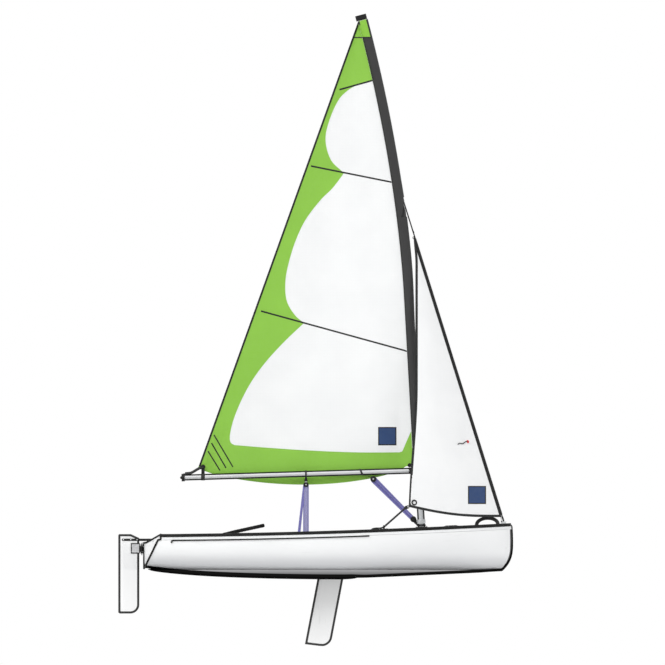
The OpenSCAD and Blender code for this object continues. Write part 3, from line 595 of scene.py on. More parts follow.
mat_navy_cloth = cloth("navy_patch", NAVY, (0.01, 0.045, 0.15), 0.6, 0.0012, 0.0003)
mat_green_cloth = cloth("green_weave", GREEN, GREEN_SHADE, 0.6)
mat_jib_cloth = cloth("jib_weave", WHITE, WHITE_SHADE, 0.6)
mat_webbing = webbing("webbing_black", (0.008, 0.008, 0.008), (0.022, 0.022, 0.022))
mat_sheet = braid("sheet_braid", (0.22, 0.205, 0.53), (0.36, 0.34, 0.68), valley_shade=0.72)
mat_line = braid("line_braid", (0.009, 0.009, 0.009), (0.04, 0.04, 0.04), 0.008)
mat_red = rubbery("red_dot", (0.6, 0.02, 0.02), (0.5, 0.03, 0.03))
mat_foil = foil_skin("foil_moulded", (0.9, 0.905, 0.905), BLACK)


def main_cloth():
    """Green border and white panels, parted where the mesh's signed distance is nil."""
    n = Nodes("main_weave", 0.6, Sheen_Weight=0.15, Sheen_Roughness=0.5)
    inside = n.attribute("panel")
    white = n.remap(inside, -0.0012, 0.0012, 0.0, 1.0)
    soft = n.cloud(2.6, detail=3.0)
    green = n.blend(soft, GREEN, GREEN_SHADE)
    pale = n.blend(soft, WHITE, WHITE_SHADE)
    grid = ripstop(n)
    colour = n.blend(white, green, pale)
    colour = n.blend(n.math("MULTIPLY", grid, 0.1), colour, (0.3, 0.36, 0.28))
    seam = n.math("LESS_THAN", n.math("ABSOLUTE", inside), 0.006)
    head = n.attribute("head")
    colour = n.blend(n.math("LESS_THAN", n.math("ABSOLUTE", head), 0.005), colour, BLACK)
    n.colour(colour)
    n.rough(n.cloud(30.0, (1, 1, 1), 3.0, 0.54, 0.7))
    return n.bump((weave_height(n, 0.0016), 0.00012), (grid, 0.0002), (seam, 0.0008),
                  (n.noise(3.4, (1, 1, 1.6), detail=3.0), 0.006))


mat_main = main_cloth()

# ---------------------------------------------------------------- hull form, as in the CAD
HALF_L, HALF_B = 1485.0, 600.0
STERN_SHEER, BOW_SHEER, RIM, STRIP = 364.0, 452.0, 42.0, 18.0
FLOOR, AFT_DECK, SIDE_DECK = 150.0, 296.0, 150.0
WELL_AFT, WELL_FRONT, DECK_T = -1225.0, 390.0, 14.0
FULL_X, WIDE_X, STERN_RUN, STEM_RUN = 137.0, -160.0, 420.0, 330.0


def sheer(x):
    return mix(STERN_SHEER, BOW_SHEER, max((x + HALF_L) / (2 * HALF_L), 0.0) ** 1.75)


def keel(x):
    aft = max(FULL_X - x, 0.0) / (HALF_L + FULL_X)
    return STRIP + 50 * aft ** 2 + 26 * aft ** 6 + 0.045 * max(x - FULL_X, 0.0)


def half_breadth(x):
    if x < WIDE_X:
        return HALF_B - 130.0 * ((WIDE_X - x) / (HALF_L + WIDE_X)) ** 2
    u = min((x - WIDE_X) / (HALF_L - WIDE_X), 1.0)
    return 16 + (HALF_B - 16) * max(1 - u ** 2.1, 0.0) ** 0.62


def stem_back(h):
    return 70 * ((300 - h) / 210) ** 3 if h < 300 else 6 * ((h - 300) / 150) ** 2


def transom_fore(h):
    return 135.0 * max((h - 85) / (STERN_SHEER - 85), 0.0)


def ends(x, aft, fore):
    """x moved forward by aft at the transom and back by fore at the stem."""
    return (x + aft * (1 - ramp(x, -HALF_L, -HALF_L + STERN_RUN))
            - fore * ramp(x, HALF_L - STEM_RUN, HALF_L))


def skin_point(x, share, out=0.0):
    """Outer skin on one side: share 0 is under the rim and 1 is the keel."""
    angle = 90 * (1 - share)
    bow = ramp(x, 100, 1400)
    low, top = keel(x), sheer(x) - RIM - 4
    rise = 1 - max(math.cos(math.radians(angle)), 0.0) ** mix(0.78, 0.9, bow)
    step_in = 8 * (1 - ramp(x, 250, 420))
    h = mix(low, top, rise)
    y = ((half_breadth(x) - step_in) * max(sin_deg(angle), 0.0) ** mix(0.72, 1.0, bow)
         * (1 - mix(0.07, 0.26, bow) * (1 - rise)))
    y = 0.0 if share >= 1 else max(y, 0.5)
    return [ends(x, transom_fore(h), stem_back(h)), y + (out if y else 0.0), h]


def well_h(x):
    if x < (WELL_AFT + WELL_FRONT) / 2:
        return mix(AFT_DECK, FLOOR, ramp(x, WELL_AFT - 25, WELL_AFT + 40))
    return mix(FLOOR, sheer(x), ramp(x, WELL_FRONT - 80, WELL_FRONT + 20))


def inner_edge(x):
    b = half_breadth(x)
    return max(b - SIDE_DECK, 0.45 * b)


def corner_cut(rows, times):
    """Rows of a line with their corners cut off, times over."""
    for _ in range(times):
        out = [rows[0]]
        for a, b in zip(rows[:-1], rows[1:]):
            out += [0.75 * a + 0.25 * b, 0.25 * a + 0.75 * b]
        rows = out + [rows[-1]]
    return rows


def deck_half(x, drop, times=2):
    """Deck section on one side, from the bottom of the rim to the centreline."""
    b, s = half_breadth(x), sheer(x)
    d = s - well_h(x)
    k = min(1.0, b / 320)
    inner = inner_edge(x)
    q = drop * k
    y = [b - 1.4 * q, b - 1.4 * q, b - 4 * k - 1.2 * q, b - 16 * k - 0.8 * q, b - 60 * k,
         inner + 45 * k + 0.2 * q, inner + 16 * k + 0.6 * q, inner + 0.8 * q,
         inner - 18 * k + 0.8 * q, inner - 50 * k + 0.2 * q, inner * 0.6, inner * 0.3, 0.0]
    h = [s - RIM - 4 + (0 if drop else 2), s - 22 - 0.6 * drop, s - 8 - 0.8 * drop, s - 2 - drop,
         s - drop, s - 0.01 * d - drop, s - 0.09 * d - drop, s - 0.24 * d - 0.8 * drop,
         s - 0.88 * d - drop, s - d - drop, s - d - drop, s - d - drop, s - d - drop]
    fore = [1, 1, 1, 1, 1, 1, 0.93, 0.8, 0.24, 0.07, 0.02, 0, 0]
    rows = corner_cut([np.array(r, float) for r in zip(y, h, fore)], times)
    rake = transom_fore(s)
    return [[ends(x, rake * f, stem_back(hh)), yy, hh] for yy, hh, f in rows]


def mirrored(half):
    return [[p[0], -p[1], p[2]] for p in half] + [half[i] for i in range(len(half) - 2, -1, -1)]


def spread(a, b, n):
    return [mix(a, b, i / n) for i in range(n)]


STATIONS = (spread(-HALF_L, WELL_AFT - 60, 9) + spread(WELL_AFT - 60, WELL_AFT + 70, 10)
            + spread(WELL_AFT + 70, WELL_FRONT - 90, 26) + spread(WELL_FRONT - 90, WELL_FRONT + 40, 12)
            + spread(WELL_FRONT + 40, 1130, 16)
            + [HALF_L - (HALF_L - 1130) * (1 - i / 20) ** 1.9 for i in range(21)])


def metres(rows):
    return [[place(p) for p in row] for row in rows]


deck_n = len(deck_half(0, 0)) - 1
skin = metres([mirrored([skin_point(x, j / deck_n) for j in range(deck_n + 1)]) for x in STATIONS])
deck_under = metres([mirrored(deck_half(x, DECK_T)) for x in STATIONS])
deck_top = metres([mirrored(deck_half(x, 0)) for x in STATIONS])

# ---------------------------------------------------------------- board and mast lines
BOARD_X, BOARD_RAKE, BOARD_CHORD, BOARD_T = 18.0, 10.8, 206.0, 22.0
MAST_X, MAST_RAKE, MAST_R = 756.0, 3.2, 30.0
MAST_HEAD_H, BEND_H, BEND_BACK, BEND_POWER = 4520.0, 2300.0, 246.0, 1.85
SLEEVE_W, TACK_H = 77.0, 930.0


def board_matrix():
    a = math.radians(BOARD_RAKE)
    m = Matrix.Rotation(a, 4, "Y")
    m.translation = Vector(place((BOARD_X, 0, 0)))
    return m


def mast_line(h):
    return MAST_X - math.tan(math.radians(MAST_RAKE)) * (h - 416)


def bend_part(h):
    return max(h - BEND_H, 0.0) / (MAST_HEAD_H - BEND_H)


def mast_x(h):
    return mast_line(h) - BEND_BACK * bend_part(h) ** BEND_POWER


def mast_lean(h):
    rate = 0.0
    if h > BEND_H:
        rate = BEND_POWER * BEND_BACK / (MAST_HEAD_H - BEND_H) * bend_part(h) ** (BEND_POWER - 1)
    return math.tan(math.radians(MAST_RAKE)) + rate


def mast_axis(h):
    return Vector((-mast_lean(h), 0, 1)).normalized()


def slot_cutter(grow=0.0):
    half, thick = (BOARD_CHORD / 2 + 2 + grow) * MM, (BOARD_T / 2 + 2 + grow) * MM
    outline = []
    for cx, a0 in ((half - thick, -90), (-half + thick, 90)):
        outline += [(cx + thick * math.cos(math.radians(a0 + k * 15)),
                     thick * math.sin(math.radians(a0 + k * 15))) for k in range(13)]
    return Parts().prism(outline, -0.1, 0.5, matrix=board_matrix())


def cup_cutter():
    return Parts().lathe([(0.0365, 0.0), (0.0365, 0.4)], 48,
                         matrix=turned(place((mast_line(175), 0, 175)), mast_axis(500)))


# ---------------------------------------------------------------- small hardware
def rounded_outline(lx, ly, r, inset=0.0, n=5):
    """Corners of a rounded rectangle lx by ly, pulled in by inset."""
    r = max(r - inset, 0.0004)
    hx, hy = lx / 2 - inset - r, ly / 2 - inset - r
    return [(cx * hx + r * math.cos(math.radians(a + 90 * k / n)),
             cy * hy + r * math.sin(math.radians(a + 90 * k / n)))
            for cx, cy, a in ((1, 1, 0), (-1, 1, 90), (-1, -1, 180), (1, -1, 270))
            for k in range(n + 1)]


def pad(parts, size, r=0.004, round_edge=0.0015, mat=0, matrix=None):
    """A block standing on Z 0 with rounded corners and edges."""
    lx, ly, lz = size
    e = min(round_edge, lz / 2.2)
    steps = [(0, e), (e * 0.3, e * 0.3), (e, 0), (lz - e, 0), (lz - e * 0.3, e * 0.3), (lz, e)]
    rings = [[(x, y, z) for x, y in rounded_outline(lx, ly, r, inset)] for z, inset in steps]
    return parts.loft(rings, mat, matrix=matrix)


def disc(parts, r, low, high, e=0.0012, mat=0, matrix=None, sides=36):
    return parts.lathe([(0.0002, low), (r - e, low), (r, low + e), (r, high - e), (r - e, high),
                        (0.0002, high)], sides, mat, matrix)


def screw(parts, at, normal, r=0.0042, mat=0):
    """A domed screw head with a recess."""
    parts.lathe([(r, -0.0006), (r, 0.0005), (r * 0.85, 0.0014), (r * 0.45, 0.0019),
                 (r * 0.4, 0.0008), (0.0002, 0.0007)], 18, mat, turned(at, normal))


def point(x, y, h):
    return Vector(place((x, y, h)))


def standing(x, y, h):
    return turned(point(x, y, h), (0, 0, 1))


def block(parts, at, r, width, hang, steel=1):
    """A pulley with its axle along Y: cheeks, grooved wheel, axle and a strap towards hang."""
    at, hang = Vector(at), Vector(hang)
    m = turned(at, (0, 1, 0))
    w, groove = width / 2, 0.62
    parts.lathe([(0.0002, -w * 0.62), (r * groove, -w * 0.6), (r * 0.86, -w * 0.58), (r * 0.92, -w * 0.5),
                 (r * groove, -w * 0.12), (r * groove, w * 0.12), (r * 0.92, w * 0.5),
                 (r * 0.86, w * 0.58), (r * groove, w * 0.6), (0.0002, w * 0.62)], 36, 2, m)
    for s in (-1, 1):
        cheek = turned(at + Vector((0, s * w * 0.66, 0)), (0, s, 0))
        parts.lathe([(0.0002, 0), (r * 0.97, 0), (r, 0.0012), (r, w * 0.2), (r * 0.92, w * 0.3),
                     (r * 0.55, w * 0.34), (0.0002, w * 0.34)], 40, 0, cheek)
        parts.lathe([(r * 0.25, w * 0.3), (r * 0.25, w * 0.42), (r * 0.19, w * 0.5), (0.0002, w * 0.5)],
                    18, steel, cheek)
        d = (hang - at).normalized()
        plate = turned(at + Vector((0, s * w * 0.8, 0)), d, (0, 1, 0))
        pad(parts, (w * 0.16, r * 0.8, (hang - at).length), 0.0012, 0.0008, steel, plate)
    return parts


def strap(parts, path, side, width, thick, mat=0):
    """A flat strap along a path; side is the way its width lies."""
    side = Vector(side).normalized()
    pts = [Vector(p) for p in path]
    rings = []
    for i, p in enumerate(pts):
        t = heading(pts, i)
        n = t.cross(side).normalized()
        s = n.cross(t)
        rings.append([p + s * (a * width / 2) + n * (b * thick / 2)
                      for a, b in ((-1, 0), (-0.92, -1), (0.92, -1), (1, 0), (0.92, 1), (-0.92, 1))])
    return parts.loft(rings, mat)


# ---------------------------------------------------------------- hull pieces
# Painted shade on the hull: the gelcoat greys from 150 mm down to 40 mm above the waterline and turns dark
# grey below it; the matt bottom greys further down to 40 mm below it.
hull_looks = [
    hull_finish("hull_gelcoat", 0.5, 0.36, 0.15, 0.04, (0.96, 0.963, 0.965), (0.76, 0.762, 0.77)),
    hull_finish("hull_bottom_matt", 0.0, 0.8, 0.004, -0.04, BOTTOM_SHADE_GREY, (0.2, 0.201, 0.205)),
]
hull_skin = Parts().grid(skin, deck_under).build("hull_skin", hull_looks, "hull", "hull_plastic",
                                                 ["hull_moulding"])
cut(hull_skin, slot_cutter(), cup_cutter())
shade(hull_skin.data, 32.0)
spots = coords(hull_skin) / MM
bands = [min(z + DRAUGHT - keel(x) - mix(24, 14, ramp(x, 150, 320)),
             HALF_L - stem_back(z + DRAUGHT) - x - 13 if x > 1200 else 99) * MM for x, _, z in spots]
mark(hull_skin, "keel_band", bands)
# Faces below the waterline, or within 21 mm over the keel line, that don't face up take the matt look with
# its painted shade.
for face in hull_skin.data.polygons:
    x, z = face.center.x / MM, face.center.z / MM
    low_down = z < -0.5 or z + DRAUGHT - keel(x) < 21
    face.material_index = 1 if low_down and face.normal.z < 0.2 else 0
deck_shell = Parts().grid(deck_under, deck_top).build("deck_shell", mat_deck, "hull",
                                                     "deck_plastic", ["deck_moulding"])
cut(deck_shell, slot_cutter(), cup_cutter())
shade(deck_shell.data, 32.0)


def deck_pad(name, xs, low_y, high_y, height_of, side):
    """A raised grip pad with rounded ends, between two lines along the deck."""
    rows_low, rows_high = [], []
    n, thick = len(xs), 2.2
    for i, x in enumerate(xs):
        t = i / (n - 1)
        close = 1 - (abs(2 * t - 1)) ** 14
        mid, half = (low_y(x) + high_y(x)) / 2, (high_y(x) - low_y(x)) / 2
        half *= max(close, 0.35)
        ys = [mid - half, mid - half + 2, mid - half + 5, mid,
              mid + half - 5, mid + half - 2, mid + half]
        lift = [0.1, 0.75, 1.0, 1.0, 1.0, 0.75, 0.1]
        edge = min(1.0, 0.15 + 6 * min(i, n - 1 - i) / n)
        rows_low.append([place((x, side * y, height_of(x) - 1.0)) for y in ys])
        rows_high.append([place((x, side * y, height_of(x) + thick * up * edge))
                          for y, up in zip(ys, lift)])
    return Parts().grid(rows_low, rows_high).build(name, mat_pad, "hull", "deck_plastic", angle=60)


for side, hand in ((1, "port"), (-1, "starboard")):
    deck_pad("side_grip_" + hand, spread(-1080, 330, 40) + [330], lambda x: inner_edge(x) + 40,
             lambda x: half_breadth(x) - 40, lambda x: sheer(x) - 0.8, side)
    deck_pad("fore_grip_" + hand, spread(520, 1080, 24) + [1080], lambda x: 95,
             lambda x: half_breadth(x) - 75, sheer, side)
    deck_pad("floor_grip_" + hand, spread(-1050, -330, 24) + [-330], lambda x: 70,
             lambda x: inner_edge(x) * 0.66, lambda x: FLOOR, side)
    deck_pad("floor_grip_front_" + hand, spread(-180, 250, 16) + [250], lambda x: 80,
             lambda x: inner_edge(x) * 0.66, lambda x: FLOOR, side)


def rim_strip(side):
    """Rubber over the outer corner of the gunwale, with a rounded face."""
    rings = []
    for x in STATIONS:
        p = deck_half(x, 0, 0)
        b, s, k = p[1][1], sheer(x), min(1.0, half_breadth(x) / 320)
        prof = [(0.4, -22), (3.6, -21), (5.0, -17), (5.2, -11), (4.2, -5), (1.0, 0.5), (-4, 3.2),
                (-11, 4.0), (-16, 3.4), (-17, 0.4), (-9 * k, -1.4), (-3.5 * k, -3.2), (0.2, -9)]
        rings.append([place((ends(x, transom_fore(s), stem_back(s + dh)), side * (b + dy), s + dh))
                      for dy, dh in prof])
    return Parts().loft(rings)


def squarer(value, power):
    """A cosine or sine bent towards a square outline."""
    return math.copysign(abs(value) ** power, value)


def section_tube(points, half_w, half_h):
    """An oval bar along points, flat sides out."""
    pts = [Vector(p) for p in points]
    rings = []
    for i, p in enumerate(pts):
        t = heading(pts, i)
        side = Vector((0, 1, 0))
        up = t.cross(side).normalized()
        grow = math.sqrt(max(1 - (abs(2 * i / (len(pts) - 1) - 1)) ** 20, 0.03))
        rings.append([p + side * (half_w * squarer(c, 0.5) * grow) + up * (half_h * squarer(s, 0.5) * grow)
                      for c, s in circle(12, 0.5)])
    return Parts().loft(rings)


for side, hand in ((1, "port"), (-1, "starboard")):
    rim_strip(side).build("rim_strip_" + hand, mat_rubber, "hull", "black_rubber",
                          ["gunwale_strake_" + hand], angle=50)
    bead = [skin_point(x, 0.0, 3.0) for x in spread(-1330, 330, 60) + [330]]
    bead = [[p[0], p[1] + 1.5, p[2] - 2.5] for p in bead]
    x, y, h = bead[0]
    hook = [[x - 14, y - 2, h - 16], [x - 9, y - 1, h - 5]]
    Parts().tube([place((p[0], side * p[1], p[2])) for p in hook + bead], 0.0064, 10).build(
        "rim_bead_" + hand, mat_rubber, "hull", "black_rubber")

strip_xs = spread(-HALF_L + 30, 240, 60) + [240]
keel_line = [place((x, 0, keel(x) - STRIP / 2 + 2.5)) for x in strip_xs]
keel_runner = section_tube(keel_line, 0.024, 0.0113).build(
    "keel_runner", mat_keel, "hull", "black_rubber", ["keel_strip"])
cut(keel_runner, slot_cutter(-1.0))
shade(keel_runner.data, 40)
stem_path = [[x, 0, keel(x)] for x in spread(205, 1130, 22)]
stem_path += [skin_point(x, 1.0) for x in STATIONS[-20:-4]]
stem_path += [skin_point(HALF_L, 1 - j / 16) for j in range(17)]
stem_path += [[HALF_L - stem_back(h) + 1, 0, h]
              for h in (BOW_SHEER - 36, BOW_SHEER - 22, BOW_SHEER - 9)]
stem_path = [[p[0], 0, p[2]] for p in stem_path]
outward = []
for i, p in enumerate(stem_path):
    a, b = stem_path[max(i - 1, 0)], stem_path[min(i + 1, len(stem_path) - 1)]
    dx, dh = b[0] - a[0], b[2] - a[2]
    size = math.hypot(dx, dh) or 1.0
    outward.append(place((p[0] + dh / size * 2.4, 0, p[2] - dx / size * 3.4)))
section_tube(outward, 0.0185, 0.0088).build("stem_guard", mat_keel, "hull", "black_rubber",
                                            ["stem_band"])

TRIM_R = 0.0082
top_edge = deck_half(-HALF_L, 0, 1)[1:]
outline = [[p[0] - 1.5, p[1] + (1.0 if p[1] > 8 else 0.0), p[2]] for p in top_edge[::-1]]
outline += [[x - 1.5, y + 1.0, h + 1.0]
            for x, y, h in (skin_point(-HALF_L, j / 40) for j in range(40))]
outline += [[p[0], -p[1], p[2]] for p in outline[:0:-1]]
outline.append(outline[0])
edging = Parts().tube([place(p) for p in outline], TRIM_R, 12)
rib = [place((-HALF_L - 1.5, 0, mix(90, AFT_DECK - 4, k / 16))) for k in range(17)]
edging.tube(rib, TRIM_R, 12)
edging.build("transom_trim", mat_rubber, "hull", "black_rubber")
treads = Parts()
for y in (-190, -95, 95, 190):
    pad(treads, (0.088, 0.03, 0.0055), 0.008, 0.002, 0, standing(-1436, y, AFT_DECK - 0.2))
treads.build("aft_deck_treads", mat_rubber, "hull", "black_rubber")

# ---------------------------------------------------------------- sails
CLEW_X, CLEW_H, HEAD_X, HEAD_H = -1048.0, 908.0, 242.5, 4507.0
LUFF_GAP = 1.5


def main_foot(t):
    run = min((t / 0.96) ** 1.05, 1.0)
    return mix(CLEW_H, TACK_H - 15, t) - 145 * max(sin_deg(180 * run), 0.0) ** 0.6


def leech_x(h):
    return mix(CLEW_X, HEAD_X, (h - CLEW_H) / (HEAD_H - CLEW_H))


def luff_x(h):
    return mast_x(h) - SLEEVE_W / 2 - LUFF_GAP


def main_point(v, t, out=0.0):
    """Mainsail: v runs from the foot to the head and t from the leech to the luff."""
    h = mix(main_foot(t), HEAD_H, v)
    x = mix(leech_x(max(h, CLEW_H)), luff_x(max(h, TACK_H)), t)
    full = 70 * max(sin_deg(180 * t ** 0.8), 0.0) * (1 - 0.75 * v)
    beside = 37 * ease(min(t, 1 - t) / 0.075) * (1 - ramp(v, 0, 0.25))
    y = (full ** 6 + beside ** 6) ** (1 / 6)
    y += 1.2 * math.sin(26 * t + 9 * v) * sin_deg(180 * t) * (1 - v)
    return (x * MM, (y + out) * MM, (h - DRAUGHT) * MM)


def main_at(x, h, out=0.0):
    """The point of the mainsail over a place in its side view, x and h in mm."""
    t = (x - leech_x(max(h, CLEW_H))) / (luff_x(max(h, TACK_H)) - leech_x(max(h, CLEW_H)))
    t = min(max(t, 0.0), 1.0)
    v = (h - main_foot(t)) / (HEAD_H - main_foot(t))
    return main_point(min(max(v, 0.0), 1.0), t, out)


BAYS = [
    [(225, 3990), (165, 3955), (85, 3874), (12, 3712), (-20, 3552), (24, 3390), (130, 3284)],
    [(130, 3284), (35, 3160), (-60, 3066), (-182, 2905), (-259, 2743), (-311, 2582), (-343, 2420),
     (-335, 2258), (-270, 2140), (-194, 2072)],
    [(-194, 2072), (-339, 1935), (-489, 1774), (-610, 1612), (-699, 1450), (-764, 1289),
     (-792, 1168), (-788, 1110), (-760, 1087)],
    [(-760, 1087), (-450, 1062), (-100, 1040), (250, 1027), (598, 1028)],
    [(598, 1028), (632, 1110), (700, 1260)],
]
BATTENS = [((93, 3958), (372, 4036)), ((-137, 3341), (517, 3210)), ((-541, 2169), (642, 1844))]
HEAD_SEAM_H = 4379.0


def panel_outline():
    pts = []
    for bay in BAYS:
        pts += [tuple(p) for p in smooth_path(bay, 6)][:-1]
    return np.array(pts + [(1500, 1400), (1500, 4300), (372, 4036)], float)


def signed_distance(points, outline):
    """Distance in metres to the outline, positive inside."""
    a, b = outline, np.roll(outline, -1, 0)
    inside = np.zeros(len(points), bool)
    best = np.full(len(points), 1e9)
    for p, q in zip(a, b):
        d = q - p
        t = np.clip(((points - p) @ d) / (d @ d), 0, 1)
        best = np.minimum(best, np.linalg.norm(points - p - t[:, None] * d, axis=1))
        crosses = (p[1] > points[:, 1]) != (q[1] > points[:, 1])
        at = p[0] + (points[:, 1] - p[1]) * d[0] / (d[1] if d[1] else 1e-9)
        inside ^= crosses & (points[:, 0] < at)
    return np.where(inside, best, -best) * MM


MAIN_ROWS, MAIN_COLS = 150, 80


def sail_grid(point, rows, cols, half=0.6):
    return [[[point(i / rows, j / cols, out) for j in range(cols + 1)] for i in range(rows + 1)]
            for out in (half, -half)]


main_sail = Parts().grid(*sail_grid(main_point, MAIN_ROWS, MAIN_COLS)).build(
    "main_sail", mat_main, "rig", "main_cloth", ["mainsail"], angle=50)
co = coords(main_sail)
flat_co = np.stack([co[:, 0] / MM, co[:, 2] / MM + DRAUGHT], 1)
mark(main_sail, "panel", signed_distance(flat_co, panel_outline()))
mark(main_sail, "head", (flat_co[:, 1] - HEAD_SEAM_H) * MM)


def ribbon(line, width, mat, name):
    """A strip of cloth on both sides of the mainsail; line holds places in the side view, in mm."""
    parts = Parts()
    pts = [np.array(p, float) for p in line]
    for out in (0.9, -0.9):
        grids = ([], [])
        for i, p in enumerate(pts):
            d = pts[min(i + 1, len(pts) - 1)] - pts[max(i - 1, 0)]
            d /= np.linalg.norm(d)
            n = np.array((-d[1], d[0]))
            for g, extra in zip(grids, (0.0, math.copysign(0.5, out))):
                g.append([main_at(*(p + n * width * s), out + extra) for s in (-0.5, 0.0, 0.5)])
        parts.grid(*grids)
    return parts.build(name, mat, "rig", "main_cloth", angle=60)


def line_between(a, b, n):
    return [(mix(a[0], b[0], i / n), mix(a[1], b[1], i / n)) for i in range(n + 1)]


for i, (a, b) in enumerate(BATTENS):
    ribbon(line_between(a, b, 40), 13, mat_black_cloth, f"batten_pocket_{i + 1}")
leech_line = [(leech_x(h) + 8, h) for h in spread(CLEW_H + 6, HEAD_H - 9, 90) + [HEAD_H - 9]]
ribbon(leech_line, 16, mat_black_cloth, "leech_tape")
foot_line = [(mix(CLEW_X, luff_x(TACK_H), i / 60), main_foot(i / 60) + 5) for i in range(61)]
ribbon(foot_line, 10, mat_green_cloth, "foot_tape")
CLEW_LINES = [((-921, 1168), (-768, 909)), ((-941, 1103), (-824, 901)), ((-970, 1038), (-873, 881))]
for i, (a, b) in enumerate(CLEW_LINES):
    ribbon(line_between(a, b, 16), 10, mat_black_cloth, f"clew_rib_{i + 1}")


def square_patch(cx, ch, size, at, name, body, slot):
    """A square of navy cloth with a stitched hem, on both sides of a sail."""
    parts = Parts()
    for out in (1.0, -1.0):
        for mat, half, extra in ((0, size / 2, 0.3), (1, size / 2 - 9, 0.55)):
            steps = [mix(-half, half, k / 8) for k in range(9)]
            grids = [[[at(cx + a, ch + b, out + math.copysign(e, out)) for a in steps] for b in steps]
                     for e in (0.0, extra)]
            parts.grid(*grids, mat)
    return parts.build(name, [mat_black_cloth, mat_navy_cloth], body, slot)


square_patch(479, 1158, 148, main_at, "main_patch", "rig", "main_cloth")


# Jib, set to starboard on its stay.
STAY_FOOT = (1418.0, 0.0, 476.0)
HOUNDS_H = 3065.0
JIB_CLEW = (660.0, -360.0, 586.0)
JIB_TACK_H, JIB_HEAD_H, JIB_DROP = 504.0, 2775.0, 28.0


def stay_at(h):
    t = (h - STAY_FOOT[2]) / (HOUNDS_H - STAY_FOOT[2])
    return (mix(STAY_FOOT[0], mast_line(HOUNDS_H), t), 0.0, h)


def jib_point(v, t, out=0.0):
    """Jib: v runs from the foot to the head and t from the leech to the luff."""
    luff = stay_at(mix(JIB_TACK_H, JIB_HEAD_H, v))
    leech = (mix(JIB_CLEW[0], 706, ramp(v, 0, 0.45)) - 14 * ramp(v, 0.9, 1),
             JIB_CLEW[1] * (1 - v ** 0.9), mix(JIB_CLEW[2], JIB_HEAD_H, v))
    belly = 60 * max(sin_deg(180 * t ** 0.9), 0.0) * (1 - v)
    drop = JIB_DROP * sin_deg(180 * t) * (1 - v) ** 6
    x = mix(leech[0], luff[0] - 7, t) - 8 * (1 - t) * (1 - v) ** 8
    y = mix(leech[1], 0.0, t) - belly + 1.0 * math.sin(20 * t + 11 * v) * sin_deg(180 * t) * (1 - v)
    h = mix(leech[2], luff[2], t) - drop
    return (x * MM, (y + out) * MM, (h - DRAUGHT) * MM)


def jib_at(x, h, out=0.0):
    """The point of the jib over a place in its side view, found by bisection."""
    t = 0.5
    for _ in range(12):
        low, high = mix(JIB_CLEW[2], JIB_TACK_H, t) - JIB_DROP * sin_deg(180 * t), JIB_HEAD_H
        v = min(max((h - low) / (high - low), 0.0), 1.0)
        for _ in range(4):
            v = min(max(v + (h - (jib_point(v, t)[2] / MM + DRAUGHT)) / (high - low), 0.0), 1.0)
        left, right = jib_point(v, 0.0)[0] / MM, jib_point(v, 1.0)[0] / MM
        t = min(max((x - left) / (right - left), 0.0), 1.0) if right > left else 0.5
    return jib_point(v, t, out)


jib_sail = Parts().grid(*sail_grid(jib_point, 100, 44)).build("jib_sail", mat_jib_cloth, "jib",
                                                              "jib_cloth", ["jib"], angle=50)


def edge_tape(path, width, name):
    """Tape along an edge of the jib: path pairs a place (v, t) on the edge with one inward of it."""
    parts = Parts()
    for out in (0.9, -0.9):
        grids = ([], [])
        for p, q in path:
            for g, extra in zip(grids, (0.0, math.copysign(0.5, out))):
                a, b = Vector(jib_point(*p, out + extra)), Vector(jib_point(*q, out + extra))
                d = (b - a).normalized() * min(width * MM, 9 * (b - a).length)
                g.append([tuple(a), tuple(a + d * 0.5), tuple(a + d)])
        parts.grid(*grids)
    return parts.build(name, mat_black_cloth, "jib", "jib_cloth", angle=60)


foot_at = Vector(place(STAY_FOOT))
top_at = Vector(place(stay_at(HOUNDS_H)))
stay_d = (top_at - foot_at).normalized()


def luff_pocket():
    """The cloth tube in which the jib's luff slides on the forestay."""
    outer, inner, rows = [], [], 90
    for k in range(rows + 1):
        luff = Vector(jib_point(mix(0.008, 0.99, k / rows), 1.0))
        centre = foot_at + stay_d * (luff - foot_at).dot(stay_d)
        back = luff - centre
        size, back = back.length, back.normalized()
        side = stay_d.cross(back)
        for rings, reach, half in ((outer, size + 0.004, 0.0078), (inner, 0.0064, 0.0066)):
            rings.append([centre + back * ((reach if c > 0 else half) * c)
                          + side * (half * w * (1 - 0.25 * max(c, 0) ** 2)) for c, w in circle(20)])
    return Parts().loft(outer + inner[::-1], closed=True).build(
        "jib_luff_pocket", mat_black_cloth, "jib", "jib_cloth", angle=60)


jib_trim = [
    luff_pocket(),
    edge_tape([((i / 60, 1.0), (i / 60, 0.9)) for i in range(61)], 17, "jib_luff_tape"),
    edge_tape([((i / 60, 0.0), (i / 60, 0.1)) for i in range(61)], 20, "jib_leech_tape"),
    edge_tape([((0.0, i / 30), (0.08, i / 30)) for i in range(31)], 21, "jib_foot_tape"),
    square_patch(1204, 683, 146, jib_at, "jib_patch", "jib", "jib_cloth"),
]

# Sleeve of cloth round the mast, open in front of the stay's swing below the hounds.
WINDOW_LOW = 135.0
mast_up = Vector((-math.sin(math.radians(MAST_RAKE)), 0, math.cos(math.radians(MAST_RAKE))))
STAY_SPREAD = math.tan(stay_d.angle(mast_up))


